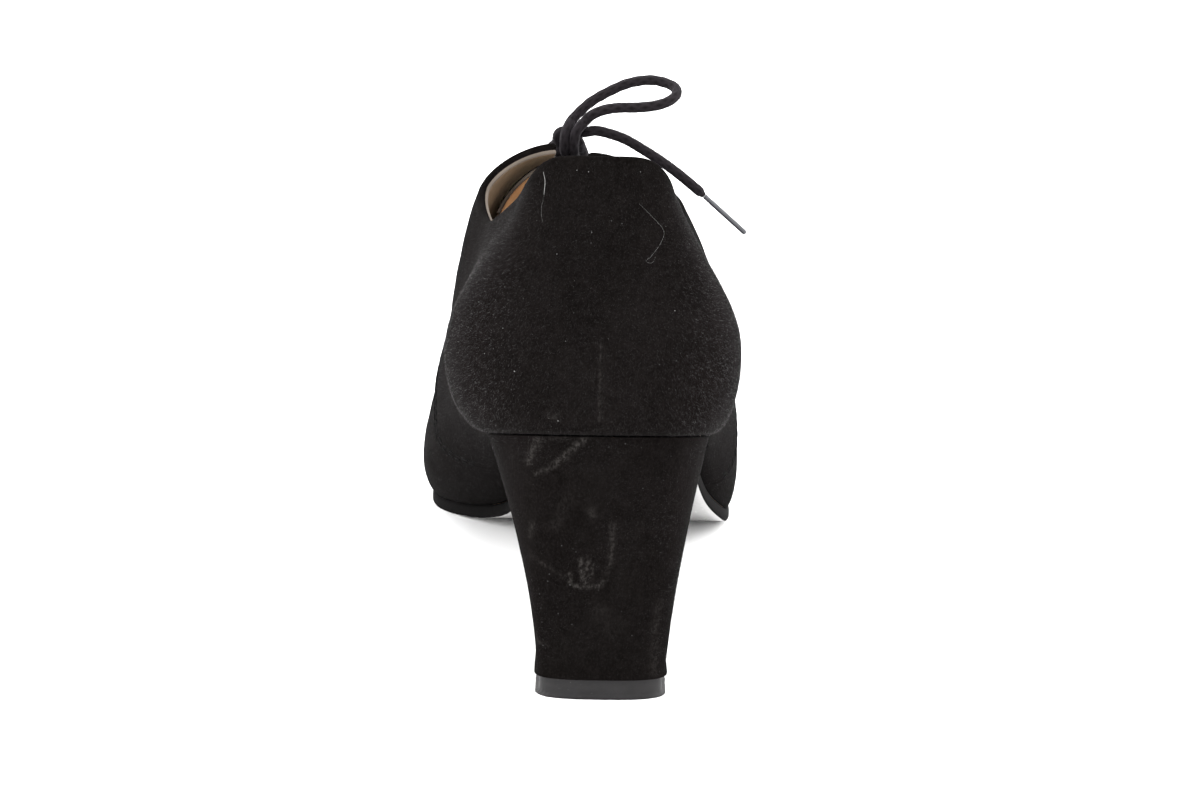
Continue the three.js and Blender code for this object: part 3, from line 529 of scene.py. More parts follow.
def shoe_mesh(name, build, finishes, weld=1e-3):
    """One object from a build: moved to the frame, in metres, its seams and poles welded, shaded smooth."""
    mesh = bpy.data.meshes.new(name)
    points = (np.concatenate(build.points) + ORIGIN) * MM
    faces = np.concatenate(build.faces)
    mesh.from_pydata(points.tolist(), [], faces.tolist())
    mesh.polygons.foreach_set("material_index", np.concatenate(build.finishes).astype(np.int32))
    mesh.polygons.foreach_set("use_smooth", np.ones(len(faces), dtype=bool))
    places = mesh.uv_layers.new(name="UVMap")
    corners = np.concatenate(build.places)[faces.reshape(-1)]
    places.data.foreach_set("uv", corners.reshape(-1).astype(np.float32))
    for value, runs in build.values.items():
        layer = mesh.attributes.new(value, "FLOAT", "POINT")
        layer.data.foreach_set("value", np.concatenate(runs).astype(np.float32))
    if weld:
        work = bmesh.new()
        work.from_mesh(mesh)
        bmesh.ops.remove_doubles(work, verts=work.verts, dist=weld * MM)
        work.to_mesh(mesh)
        work.free()
    for finish in finishes:
        mesh.materials.append(finish)
    piece = bpy.data.objects.new(name, mesh)
    bpy.context.scene.collection.objects.link(piece)
    return piece


def settle(piece, slot, *nodes):
    """The piece rides on the shoe's one body and hides the solids that it stands for. slot is not used."""
    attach(piece, "root")
    if nodes:
        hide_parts(*nodes)


def through(points, per_span):
    """Catmull-Rom curve through points, which runs on straight past both ends."""
    points = np.asarray(points, dtype=float)
    held = np.vstack([2 * points[0] - points[1], points, 2 * points[-1] - points[-2]])
    t = np.linspace(0, 1, per_span, endpoint=False)[None, :, None]
    a, b, c, d = (held[i:len(held) - 3 + i, None, :] for i in range(4))
    bend, twist = 2 * a - 5 * b + 4 * c - d, 3 * b - a - 3 * c + d
    spans = 0.5 * (2 * b + (c - a) * t + bend * t ** 2 + twist * t ** 3)
    return np.vstack([spans.reshape(-1, 3), points[-1]])


def distance_along(path):
    """The distance from the path's start to each of its points."""
    return np.concatenate([[0], np.cumsum(np.linalg.norm(np.diff(path, axis=0), axis=1))])


def values_at(places, along, values):
    """Rows of three values, given at distances along a path, read off at places between them."""
    return np.stack([np.interp(places, along, values[:, i]) for i in range(3)], axis=1)


def even(path, spacing):
    """The path again with points evenly spaced along it."""
    along = distance_along(path)
    return values_at(np.linspace(0, along[-1], max(3, round(along[-1] / spacing) + 1)), along, path)


def frames(path):
    """Two normals along a path: each first normal is the last one with its lean along the path taken out,
    and the second is square to it and to the path."""
    tangent = unit(np.gradient(path, axis=0))
    first = np.empty_like(path)
    first[0] = unit(np.cross(tangent[0], [0.31, 0.9, 0.3]))
    for i in range(1, len(path)):
        first[i] = unit(first[i - 1] - tangent[i] * (first[i - 1] @ tangent[i]))
    return first, np.cross(tangent, first)


def capped(rings, first, last):
    """Rings with one more at each end, drawn together on a point."""
    ends = [np.broadcast_to(end, rings[0].shape)[None] for end in (first, last)]
    return np.concatenate([ends[0], rings, ends[1]])


def tube(path, angle, size):
    """Circles square to a path, size wide at each point and angle, closed on the path at both ends."""
    first, second = frames(path)
    spoke = np.cos(angle)[None, :, None] * first[:, None] + np.sin(angle)[None, :, None] * second[:, None]
    return capped(path[:, None] + size[..., None] * spoke, path[0], path[-1])


def braided_tube(build, path, end=1.0):
    """A lace round a path, whose radius rises where one of two opposite helices of strands passes over:
    radius (0.975 + 0.035 max(cos 4(angle + turn), cos 4(angle - turn))). end is the share of the radius
    that the last end shrinks to. Its UV map counts turns along and round it."""
    along = distance_along(path)
    angle = np.linspace(0, 2 * math.pi, LACE_SIDES + 1)
    turn = along[:, None] / LACE_RADIUS * STRAND_SLANT
    relief = np.maximum(np.cos(4 * (angle + turn)), np.cos(4 * (angle - turn)))
    size = LACE_RADIUS * mix(end, 1, smooth((along[-1] - along) / LACE_END_RUN))
    shell = tube(path, angle, size[:, None] * (0.975 + 0.035 * relief))
    places = np.empty((*shell.shape[:2], 2))
    places[..., 0] = np.concatenate([[0], along, [along[-1]]])[:, None] / (2 * math.pi * LACE_RADIUS)
    places[..., 1] = angle / (2 * math.pi)
    build.add(shell, places=places)


def turned(build, profile, origin, axis, sides=48, closed=True):
    """A profile of (radius, along) turned about an axis through origin."""
    profile = np.asarray(profile, dtype=float)
    axis = unit(np.asarray(axis, dtype=float))
    first = unit(np.cross(axis, [0.9, 0.1, 0.4]))
    second = np.cross(axis, first)
    angle = np.linspace(0, 2 * math.pi, sides + 1)
    spoke = np.cos(angle)[:, None] * first + np.sin(angle)[:, None] * second
    ring = profile[None, :, :1] * spoke[:, None] + profile[None, :, 1:] * axis + origin
    if closed:
        ring = np.concatenate([ring, ring[:, :1]], axis=1)
    build.add(ring)


# Upper

def upper_columns():
    half = stations(0, (0.12, 8), (7.6, 100), (8.3, 24), (10.7, 92), (11.2, 16), (TOE, 92))
    return np.concatenate([half, AROUND - half[1:-1][::-1]])


def crease_relief(points, section, reach):
    """Sum of the flex creases: each a trough across the vamp with a low ridge on both sides of it."""
    relief = np.zeros(reach.shape)
    for place, middle, half, width, depth in CREASES:
        bow = 0.35 * ((reach - middle) / half) ** 2 + 0.12 * np.sin(reach / 6 + place * 7)
        along = (section - place + bow * 0.35) * LENGTH * 0.054
        across = bell(reach - middle, half * 0.62)
        ridges = 0.42 * bell(np.abs(along) - 1.9 * width, width * 1.1)
        relief += across * depth * (-bell(along, width) + ridges)
    return relief


def dent_relief(points):
    """Sum of the soft dents and swellings of the quarters, each a bell round its place on the skin."""
    relief = np.zeros(points.shape[:-1])
    for u, v, radius, depth in DENTS:
        centre = skin(np.array(u), np.array(v))
        relief -= depth * bell(np.linalg.norm(points - centre, axis=-1), radius)
    return relief


def upper_relief(u, v, points, to_edge):
    """Height of the suede over the last: the quarter's step and its stitched edge, the back seam, the turned
    collar edge, creases, dents and a faint unevenness."""
    step = panel_height(u, v, PANEL_RAMP)
    foot = np.where(side_of(u) > 0, SEAM_FOOT["outer"], SEAM_FOOT["inner"])
    from_seam = seam_distance(u, v, foot) * LENGTH * 0.052
    lifted = np.clip(v / LASTING_TURN, 0, 1)
    stitch_rows = 0.12 * bell(from_seam - 2.0, 0.35) + 0.1 * bell(from_seam - 4.2, 0.35)
    edge_roll = 0.1 * bell(from_seam - 0.5, 0.6) - stitch_rows
    seam_gap = np.abs(points[..., 0] - 0.9) + 100 * (section_of(u) > 3)
    back_seam = 0.06 * bell(seam_gap - 0.5, 0.25) - 0.07 * bell(seam_gap, 0.2)
    back_seam = back_seam * smooth((92 - points[..., 2]) / 14)
    front = smooth((section_of(u) - 7.2) / 0.8)
    collar_edge = 0.08 * bell(to_edge - 1.0, 0.8) - 0.13 * bell(to_edge - 2.5, 0.4) * front
    reach = points[..., 0] - CREST_SIDE(u)
    away = smooth(v / 0.2)
    relief = step + (edge_roll + collar_edge) * lifted + back_seam * lifted
    relief += away * (crease_relief(points, section_of(u), reach) + dent_relief(points))
    return relief + 0.13 * ripple(points, 34, 3) * away + 0.05 * ripple(points, 9, 4) * away


def rim_profile(count):
    """The top edge from outside, 0, to inside, 1: the suede rolls over in a half sine up to 0.58 of the
    wall, and the lining's cut edge stands beside it as a lower, flatter one."""
    t = np.linspace(0, 1, count + 2)[1:-1]
    suede = 0.62 * np.sin(math.pi * np.clip(t / 0.58, 0, 1)) ** 0.8
    lining = 0.36 * np.sin(math.pi * np.clip((t - 0.6) / 0.4, 0, 1)) ** 0.5
    return t, np.where(t < 0.58, suede, lining)


def upper_points():
    """Grids of the upper's outside, its top edge and its lining, with the columns' places and whether each
    column closes on the crest. Rows run from the feather line up to the top edge."""
    low, high, rim = 34, 60, 13
    u = upper_columns()[:, None]
    top = top_edge(u[:, 0])[:, None]
    share = np.linspace(0, 1, low + 1)[None, :-1]
    rise = np.linspace(0, 1, high + 1)[None]
    v = np.concatenate([np.broadcast_to(share * GIRTH_SHARE, (len(u), low)),
                        GIRTH_SHARE + (top - GIRTH_SHARE) * (1 - (1 - rise) ** 1.25)], axis=1)
    u_grid = np.broadcast_to(u, v.shape)
    base = skin(u_grid, v)
    normal = skin_normal(u_grid, v)
    steps = np.linalg.norm(np.diff(base, axis=1), axis=-1)
    to_edge = np.concatenate([np.cumsum(steps[:, ::-1], axis=1)[:, ::-1], np.zeros((len(u), 1))], axis=1)
    closed = section_of(u[:, 0]) >= THROAT_END - 0.001
    to_edge = to_edge + 50 * closed[:, None]
    outer = base + normal * upper_relief(u_grid, v, base, to_edge)[..., None]
    inner_v = np.concatenate([v[:, :low:3], v[:, low::3]], axis=1)
    inner_v[:, -1] = v[:, -1]
    inner_u = np.broadcast_to(u, inner_v.shape)
    inner_base = skin(inner_u, inner_v)
    sag = 0.06 * ripple(inner_base, 26, 8) * smooth(inner_v / 0.2) * (inner_v < top)
    inner = inner_base - skin_normal(inner_u, inner_v) * (WALL - np.minimum(sag, 0.05))[..., None]
    across, up = rim_profile(rim)
    edge_out, edge_in = outer[:, -1:], inner[:, -1:]
    slope = unit(base[:, -1:] - base[:, -2:-1])
    slot = np.abs(base[:, -1:, :1] - CREST_SIDE(u)[..., None])
    room = np.where(section_of(u)[..., None] > CREST_JOINS, np.clip(slot / 1.5, 0, 1), 1)
    roll = mix(edge_out, edge_in, across[None, :, None]) + slope * room * up[None, :, None]
    return u[:, 0], outer, roll, inner, closed


def upper_build():
    u, outer, roll, inner, closed = upper_points()
    build = Build()
    wear = stroke_wear(outer, SCUFFS) * (outer[..., 1] < 30)
    # The value added here for the finish is painted shade. It is 0 behind 62 mm and 1 from 102 mm forward, and
    # it darkens the forepart's suede.
    build.add(outer, finish=0, close=True, wear=wear, calm=smooth((outer[..., 1] - 62) / 40))
    build.add(inner, finish=1, close=True, flip=True)
    rim = np.concatenate([outer[:, -1:], roll, inner[:, -1:]], axis=1)
    opened = np.where(~closed)[0]
    outward = opened[opened < len(u) // 2]
    inward = opened[opened > len(u) // 2]
    run = np.concatenate([[inward[0] - 1], inward, outward, [outward[-1] + 1]])
    suede_columns = int(0.6 * rim.shape[1])
    build.add(rim[run][:, :suede_columns + 1], finish=0)
    build.add(rim[run][:, suede_columns:], finish=2)
    build.add(np.stack([inner[:, 0], outer[:, 0]], axis=1), finish=0, close=True)
    return build


def eyelet_places():
    """Point and normal of each eyelet, by pair from the top and by side, outer first."""
    section = mix(EYELET_FIRST, EYELET_LAST, np.arange(EYELET_PAIRS) / (EYELET_PAIRS - 1))
    u = np.stack([section, AROUND - section], axis=1)
    v = at_reach(u, EYELET_REACH)
    normal = skin_normal(u, v)
    return skin(u, v) + normal * panel_height(u, v, 0.3)[..., None], normal


def cut_holes(piece, radius):
    """Takes a round hole for each eyelet's barrel out of the piece."""
    build = Build()
    centres, normals = eyelet_places()
    for centre, normal in zip(centres.reshape(-1, 3), normals.reshape(-1, 3)):
        turned(build, [(0, -5), (radius, -5), (radius, 5), (0, 5)], centre, normal, sides=32, closed=False)
    drill = shoe_mesh("eyelet_drill", build, [])
    cut = piece.modifiers.new("eyelet holes", "BOOLEAN")
    cut.operation = "DIFFERENCE"
    cut.solver = "EXACT"
    cut.object = drill
    finished = bpy.data.meshes.new_from_object(piece.evaluated_get(bpy.context.evaluated_depsgraph_get()))
    piece.modifiers.clear()
    piece.data = finished
    bpy.data.objects.remove(drill)


# Tongue

def tongue_build():
    """Rows across the tongue, each a quartic fitted to five places on the last's skin and drawn at even
    steps, then moved in by the wall and the drop. The face and the back meet in a rounded edge."""
    section = np.linspace(TONGUE["top"], TONGUE["end"], 84)
    narrowing = mix(1, 0.8, (section - TONGUE["top"]) / (TONGUE["end"] - TONGUE["top"]))
    drop = mix(TONGUE["drop"], TONGUE["seat"],
               smooth((section - EYELET_LAST) / (TONGUE["end"] - EYELET_LAST)))
    drop -= TONGUE["rise"] * (1 - smooth((section - TONGUE["top"]) / TONGUE["spring"]))
    fractions = np.array([1, 0.8, 0.55, 0.3, 0.02])
    reach = np.concatenate([fractions, -fractions[::-1]])
    across = np.linspace(-1, 1, 64)
    corner = 0.07 * smooth((section - TONGUE["top"]) / 0.3) + 0.93

    def shell(depth):
        place = reach[None] * (TONGUE["reach"] * narrowing * corner)[:, None]
        row = np.broadcast_to(section[:, None], place.shape)
        u = np.where(place >= 0, row, AROUND - row)
        v = at_reach(u, np.abs(place))
        points = skin(u, v) - skin_normal(u, v) * (WALL + drop + depth)[:, None, None]
        rows = points.transpose(1, 0, 2).reshape(len(reach), -1)
        fit = np.linalg.lstsq(np.vander(-reach, 5), rows, rcond=None)[0]
        drawn = np.vander(across, 5) @ fit
        return drawn.reshape(len(across), len(section), 3).transpose(1, 0, 2)

    thickness = TONGUE["thickness"]
    face = shell(0.0)
    back = shell(thickness)
    shape = np.clip(1 - np.abs(across) ** 14, 0, 1) ** 0.5
    front = np.clip(1 - np.clip(1 - (section - TONGUE["top"]) / 0.05, 0, 1) ** 2, 0, 1) ** 0.5
    plump = (0.5 + 0.5 * shape[None] * front[:, None])[..., None]
    middle = (face + back) / 2
    wave = 0.12 * ripple(face, 14, 12)[..., None] * unit(face - back)
    face = middle + (face - middle) * plump + wave
    back = middle + (back - middle) * plump + wave
    build = Build()
    build.add(face, finish=0)
    build.add(back, finish=1, flip=True)
    build.add(np.stack([face[0], back[0]], axis=0)[::-1], finish=2, flip=True)
    build.add(np.stack([face[-1], back[-1]], axis=0), finish=2, flip=True)
    build.add(np.stack([face[:, 0], back[:, 0]], axis=1), finish=2, flip=True)
    build.add(np.stack([face[:, -1], back[:, -1]], axis=1), finish=2)
    return build


# Sole, insole and heel

def bottom_outline(u, grow):
    """The feather line on the floor plan, moved out along its normal by grow."""
    nudge = 0.01
    here = rail_point("feather", u)
    onward = unit((rail_point("feather", u + nudge) - rail_point("feather", u - nudge)) * [1, 1, 0])
    return here + np.stack([onward[..., 1], -onward[..., 0], 0 * onward[..., 0]], axis=-1) * grow[..., None]


def bottom_build(section, margin, top, thickness, rounding, floor, crown, finish_under=0):
    """A flat piece cut to the last's bottom. Each row runs round its cross-section: over the top, down the
    outer edge, which swells as 1 - |2q - 1|^4, along the underside and up the inner edge."""
    across = np.linspace(0, 1, 25)
    drop = np.linspace(0, 1, 9)
    section = section[:, None]

    def place(t, q):
        grow = margin - rounding * np.abs(2 * q - 1) ** 4
        outer = bottom_outline(section + 0 * t, grow)
        inner = bottom_outline(AROUND - section + 0 * t, grow)
        tip = (section >= TOE - 1e-6) | (section <= 1e-6)
        shared = (outer[..., 0] + inner[..., 0]) / 2
        outer[..., 0] = np.where(tip, shared, outer[..., 0])
        inner[..., 0] = np.where(tip, shared, inner[..., 0])
        point = mix(outer, inner, t[..., None])
        fall = q * thickness
        point[..., 2] = point[..., 2] + top - fall
        if floor:
            point[..., 2] = np.maximum(point[..., 2], thickness - fall)
        point[..., 2] += crown * (1 - q) * (1 - (2 * t - 1) ** 2)
        return point

    flat = np.zeros(len(across))
    edge = np.zeros(len(drop))
    over = place(across[None, ::-1], flat[None])
    down = place(edge[None], drop[None])
    under = place(across[None], flat[None] + 1)
    rise = place(edge[None] + 1, drop[None, ::-1])
    build = Build()
    build.add(over)
    build.add(down)
    build.add(under, finish=finish_under)
    build.add(rise)
    for row in (0, -1):
        rows = np.linspace(0, 1, 5)[:, None, None]
        cap = mix(over[row][None], under[row][None, ::-1], rows)
        cap[:, 0] = rise[row][::-2]
        cap[:, -1] = down[row][::2]
        build.add(cap, flip=row == 0)
    return build


def heel_rings():
    """Matching outlines of the heel's foot and of the seat over it: from the breast's outer corner along
    the side, round the back as a superellipse, along the inner side, and straight across the breast."""
    foot = HEEL_FOOT
    power = 2 / foot["squareness"]
    count_side, count_back, count_breast = 70, 150, 70

    def round_back(angle):
        sine = np.sin(angle)
        x = foot["side"] + foot["width"] / 2 * np.sign(sine) * np.abs(sine) ** power
        y = foot["back"] + foot["depth"] * foot["round"] * (1 - np.maximum(0, np.cos(angle)) ** power)
        return np.stack([x, y], axis=-1)

    turn = round_back(np.array([math.pi / 2, -math.pi / 2]))
    front = foot["back"] + foot["depth"]
    t = np.linspace(1, 0, count_side, endpoint=False)
    side = np.stack([np.full(count_side, turn[0, 0]), mix(turn[0, 1], front, t)], axis=1)
    far = np.stack([np.full(count_side, turn[1, 0]), mix(turn[1, 1], front, t)], axis=1)[::-1]
    sweep = np.linspace(1, -1, count_back)
    sweep = np.sign(sweep) * (1 - (1 - np.abs(sweep)) ** 0.9)
    low = np.concatenate([side, round_back(sweep * math.pi / 2), far])
    u = np.concatenate([
        mix(3, BREAST_SECTION, t),
        np.where(sweep >= 0, 3 * sweep, AROUND + 3 * sweep),
        AROUND - mix(3, BREAST_SECTION, t)[::-1],
    ])
    seat = rail_point("feather", u)
    q = np.linspace(0, 1, count_breast + 2)[1:-1, None]
    low = np.concatenate([low, mix(low[-1], low[0], q)])
    seat = np.concatenate([seat, mix(seat[-1], seat[0], q)])
    return low, seat


def softened(ring, rounds):
    """Rounds the corners of closed rings, given as levels by points by 3: a moving mean of neighbours."""
    for _ in range(rounds):
        ring = (np.roll(ring, 1, axis=1) + 2 * ring + np.roll(ring, -1, axis=1)) / 4
    return ring


def stroke_wear(points, strokes):
    """How rubbed each point is: the largest of each stroke's strength times a bell of its distance to it,
    with uneven edges."""
    wear = np.zeros(points.shape[:-1])
    flat = points[..., [0, 2]]
    ragged = 0.22 * ripple(points, 1.3, 31) + 0.22 * ripple(points, 0.7, 32)
    for width, strength, places in strokes:
        places = np.array(places, dtype=float)
        for start, end in zip(places[:-1], places[1:]):
            line = end - start
            t = np.clip(((flat - start) @ line) / (line @ line), 0, 1)
            distance = np.linalg.norm(flat - start - t[..., None] * line, axis=-1) + ragged
            wear = np.maximum(wear, strength * bell(distance, width * 0.75))
    return wear


def ring_normals(ring):
    """Level unit normals of rings, outwards: each square to the line between a point's neighbours."""
    return unit(np.cross(np.roll(ring, -1, axis=1) - np.roll(ring, 1, axis=1), [0, 0, 1]))


def turned_edge(depth, share):
    """How far an edge has turned in, as a quarter circle: depth at its end, where share is 0, to 0 at 1."""
    return depth * (1 - np.sqrt(np.clip(1 - (1 - np.clip(share, 0, 1)) ** 2, 0, 1)))


def heel_surface():
    """The heel's cover as 160 level rings, with their normals."""
    ring = softened(heel_points(np.linspace(0, 1, 160)), 10)
    return ring, ring_normals(ring)


def heel_points(levels):
    """The heel's rings at levels from its foot, 0, to the seat, 1: each point goes from foot to seat as a
    power of the level, which differs from the outer to the inner side."""
    low, seat = heel_rings()
    base = TOP_PIECE["thickness"] + SEAM
    t = levels[:, None]
    outward = smooth(0.5 + (low[:, 0] - HEEL_FOOT["side"]) / HEEL_FOOT["width"])
    flare = t ** mix(HEEL_FLARE["inner"], HEEL_FLARE["outer"], outward)
    x = mix(low[None, :, 0], seat[None, :, 0], flare)
    y = mix(low[None, :, 1], seat[None, :, 1], flare)
    z = mix(base, seat[None, :, 2] - SEAM, t)
    return np.stack([x, y, z], axis=-1)


def heel_build():
    """The heel's rings rise from its foot to the seat, each point moving from foot to seat as a power of the
    height. The cover turns in at both ends and has a closed seam down the middle of the breast."""
    levels = stations(0, (0.03, 5), (0.97, 108), (1, 5))
    ring = softened(heel_points(levels), 10)
    outward = ring_normals(ring)
    turn_in = turned_edge(0.45, levels / 0.012) + turned_edge(0.35, (1 - levels) / 0.01)
    middle = ring[..., 0] - ring[..., 0].mean(axis=1, keepdims=True)
    breast = ring[..., 1] > ring[:, :1, 1] - 2
    seam = np.where(breast, -0.28 * bell(middle, 0.3) + 0.12 * bell(np.abs(middle) - 0.8, 0.4), 0)
    relief = 0.1 * ripple(ring, 22, 21) + 0.035 * ripple(ring, 6, 22) + seam - turn_in[:, None]
    back = ring[..., 1] < HEEL_FOOT["back"] + 16
    wear = stroke_wear(ring, SCUFFS) * back
    ring = ring + outward * (relief - 0.05 * wear)[..., None]
    closed = np.concatenate([ring, ring[:, :1]], axis=1)
    shell = capped(closed, ring[0].mean(axis=0), ring[-1].mean(axis=0))
    wear = np.concatenate([wear, wear[:, :1]], axis=1)
    wear = np.concatenate([wear[:1] * 0, wear, wear[:1] * 0])
    build = Build()
    build.add(shell, flip=True, wear=wear)
    return build


def top_piece_build():
    """The heel foot's outline, moved in by the inset, as a slab with turned edges. Its lower edge is worn
    uneven."""
    low, _ = heel_rings()
    centre = np.array([HEEL_FOOT["side"], HEEL_FOOT["back"] + HEEL_FOOT["depth"] / 2])
    low = mix(centre, low, 1 - 2 * TOP_PIECE["inset"] / HEEL_FOOT["width"])
    top, bevel = TOP_PIECE["thickness"], TOP_PIECE["bevel"]
    height = stations(0, (bevel, 8), (top - 0.3, 6), (top, 3))
    ring = np.concatenate([np.broadcast_to(low[None], (len(height), *low.shape)),
                           np.broadcast_to(height[:, None, None], (len(height), len(low), 1))], axis=-1)
    ring = softened(ring.copy(), 10)
    outward = ring_normals(ring)
    turn = turned_edge(bevel, height / bevel)
    turn += 0.15 * (1 - np.clip((top - height) / 0.3, 0, 1)) ** 2
    ragged = 0.16 * np.abs(ripple(ring, 2.3, 31)) * bell(height, 0.8)[:, None]
    ring = ring - outward * (turn[:, None] + ragged + 0.03 * (1 + ripple(ring, 5, 32)))[..., None]
    closed = np.concatenate([ring, ring[:, :1]], axis=1)
    build = Build()
    build.add(capped(closed, closed[0].mean(axis=0), closed[-1].mean(axis=0)), flip=True)
    return build


# Eyelets and lace

def eyelet_build(centre, normal):
    """A ring turned about its axis: a round lip on the facing, a barrel and a clinched foot inside."""
    bore, flange = EYELET["bore"], EYELET["flange"]
    barrel = bore + EYELET["barrel"] - 0.12
    lip = SEAM + EYELET["lip"]
    foot = -(WALL + PANEL_STEP + SEAM)
    bend = np.linspace(0, math.pi, 13)
    middle = (bore + flange) / 2
    crown = [(middle - (flange - bore) / 2 * math.cos(a),
              SEAM - 0.12 + (lip - SEAM + 0.12) * math.sin(a) ** 0.75) for a in bend]
    clinch = [(bore + 0.62 - 0.62 * math.cos(a), foot + 0.3 - 0.3 * math.sin(a)) for a in bend[::-1]]
    profile = [*crown, (barrel, SEAM - 0.12), (barrel, foot + 0.45), (bore + 1.24, foot + 0.45), *clinch]
    build = Build()
    turned(build, profile, centre, normal)
    return build


def lacing_paths():
    """The lace from the bottom pair of eyelets to the knot. At each pair it comes up through an eyelet,
    crosses over the facing and the slot, and ducks under the other facing to the next eyelet. Each place is
    given as a share of the way between two pairs, the reach from the crest and the lift over the upper."""
    pair_section = mix(EYELET_FIRST, EYELET_LAST, np.arange(EYELET_PAIRS) / (EYELET_PAIRS - 1))
    under = -(WALL + LACE_RADIUS + 0.1)
    over = LACE_LIFT - 0.25
    r = EYELET_REACH
    rise = [(0.0, r, -1.4), (0.0, r, 0.1), (0.03, r - 1.0, over), (0.12, r - 2.6, over)]
    duck = [(0.76, -4.6, under), (0.88, -7.0, under - 0.2), (0.97, -8.9, under - 0.1)]
    crossing_over = [*rise, (0.24, 4.6, over - 0.1), (0.38, 2.2, over - 0.3), (0.5, 0, over - 0.7),
                     (0.63, -2.2, -1.4), *duck]
    crossing_under = [*rise, (0.22, 5.0, over - 0.1), (0.34, 3.2, 0.3), (0.46, 1.2, -1.7),
                      (0.58, -1.2, under + 0.1), *duck]
    paths = []
    for side in (1, -1):
        places = [(pair_section[-1], 0.0, under - 0.1), (pair_section[-1], side * 5, under - 0.1),
                  (pair_section[-1], side * (r - 0.8), under)]
        at = side
        for pair in range(EYELET_PAIRS - 1, 0, -1):
            shape = crossing_over if (at > 0) == (pair % 2 == 1) else crossing_under
            places += [(mix(pair_section[pair], pair_section[pair - 1], share), at * reach, lift)
                       for share, reach, lift in shape]
            at = -at
        places += [(pair_section[0], at * r, -1.4), (pair_section[0], at * r, 0.1)]
        if at > 0:
            places += [(pair_section[0] + 0.05, r - 1.0, over - 0.2), (pair_section[0] + 0.14, 6.2, 1.4)]
            close = [(4.3, 2.6, -7.2), (2.4, 2.4, -6.9), (0.6, 1.8, -5.6), (-1.4, 0.9, -3.6)]
        else:
            places += [(pair_section[0], 1.0 - r, over), (pair_section[0], -6.4, over)]
            close = [(-5.0, 1.0, -4.2), (-2.8, 0.8, -4.0), (-0.8, 1.3, -3.8), (0.8, 1.5, -3.3)]
        section, reach, lift = np.array(places).T
        path = over_instep(section, reach, lift)
        paths.append(np.concatenate([path, KNOT_CENTRE + np.array(close)]))
    return paths


def aglet_build(route):
    """A sheath turned about the line on which the lace ends: a crimped collar, a slim barrel, a round tip."""
    tail = KNOT_CENTRE + np.array(route[-1])
    direction = unit(tail - (KNOT_CENTRE + np.array(route[-2])))
    radius, length = AGLET["radius"], AGLET["length"]
    along = stations(0, (2.4, 16), (length - 1, 14), (length, 8))
    size = radius * np.sqrt(np.clip(1 - np.clip((along - length + 0.8) / 0.8, 0, 1) ** 2, 0, 1))
    size -= 0.09 * (bell(along - 0.9, 0.22) + bell(along - 1.8, 0.22))
    size[-1] = 0
    profile = [(0, 0), *zip(size, along)]
    build = Build()
    turned(build, np.array(profile), tail + direction * SEAM, direction, sides=20, closed=False)
    return build


# Stitches, fibres and flecks

def capsule():
    """Unit stitch along x: rings of sides points on a round-ended bar, with its quads."""
    sides, rings = 6, 5
    along = -np.cos(np.linspace(0, math.pi, rings))
    size = np.sqrt(np.clip(1 - along ** 4, 0, 1)) + 0.02
    angle = np.arange(sides) * 2 * math.pi / sides
    points = np.stack([
        np.broadcast_to(along[:, None], (rings, sides)),
        size[:, None] * np.cos(angle),
        size[:, None] * np.sin(angle),
    ], axis=-1).reshape(-1, 3)
    ring = np.arange(rings - 1)[:, None] * sides
    here = np.arange(sides)[None]
    onward = (here + 1) % sides
    corners = [ring + here, ring + onward, ring + sides + onward, ring + sides + here]
    faces = np.stack(corners, axis=-1).reshape(-1, 4)
    ends = np.array([[0, 3, 2, 1], [0, 5, 4, 3]])
    return points, np.concatenate([faces[:, ::-1], ends[:, ::-1], ends + (rings - 1) * sides])


def add_stitches(build, line, normal, pitch, length, radius):
    """Stitches along a line on the surface, one to a pitch, each sunk by half its thickness."""
    along = distance_along(line)
    count = max(2, int(along[-1] / pitch))
    places = (np.arange(count) + 0.5) * along[-1] / count
    centre = values_at(places, along, line)
    forward = unit(values_at(places + 0.4, along, line) - values_at(places - 0.4, along, line))
    up = values_at(places, along, normal)
    up = unit(up - forward * np.sum(up * forward, axis=1, keepdims=True))
    side = np.cross(up, forward)
    shape, faces = capsule()
    scaled = shape * [length / 2, radius * 1.15, radius * 0.8]
    points = centre[:, None] + np.einsum("pk,nkj->npj", scaled, np.stack([forward, side, up], axis=1))
    build.copies(points + up[:, None] * radius * 0.15, faces)


def edge_line(u, inset, lift):
    """Points on the suede at a distance under the top edge, with their normals."""
    top = top_edge(u)
    share = np.linspace(0, 0.45, 80)
    v = top[:, None] * (1 - share[None])
    u_grid = np.broadcast_to(u[:, None], v.shape)
    base = skin(u_grid, v)
    depth = np.concatenate([np.zeros((len(u), 1)),
                            np.cumsum(np.linalg.norm(np.diff(base, axis=1), axis=-1), axis=1)], axis=1)
    below = np.array([np.interp(inset, d, row) for d, row in zip(depth, v)])
    return on_suede(u, below, lift)


def on_suede(u, v, lift):
    """Points over the finished suede, panel step and relief included, with their normals."""
    base = skin(u, v)
    normal = skin_normal(u, v)
    height = panel_height(u, v, PANEL_RAMP) + dent_relief(base) * smooth(v / 0.2) + lift
    return base + normal * height[:, None], normal


def stitches_build():
    build = Build()
    facing = stations(7.9, (8.6, 40), (10.4, 60))
    for u in (facing, AROUND - facing):
        line, normal = edge_line(u, 2.5, -0.02)
        add_stitches(build, line, normal, 2.7, 2.1, 0.2)
    for side, foot in (("outer", SEAM_FOOT["outer"]), ("inner", SEAM_FOOT["inner"])):
        for inset in (2.0, 4.2):
            v = np.linspace(0.1, 0.985, 160)
            section = mix(SEAM_TOP, foot, (1 - v) ** 3) - inset / (LENGTH * 0.052)
            u = section if side == "outer" else AROUND - section
            line, normal = on_suede(u, v, -0.02)
            add_stitches(build, line, normal, 2.5, 1.95, 0.2)
    return build


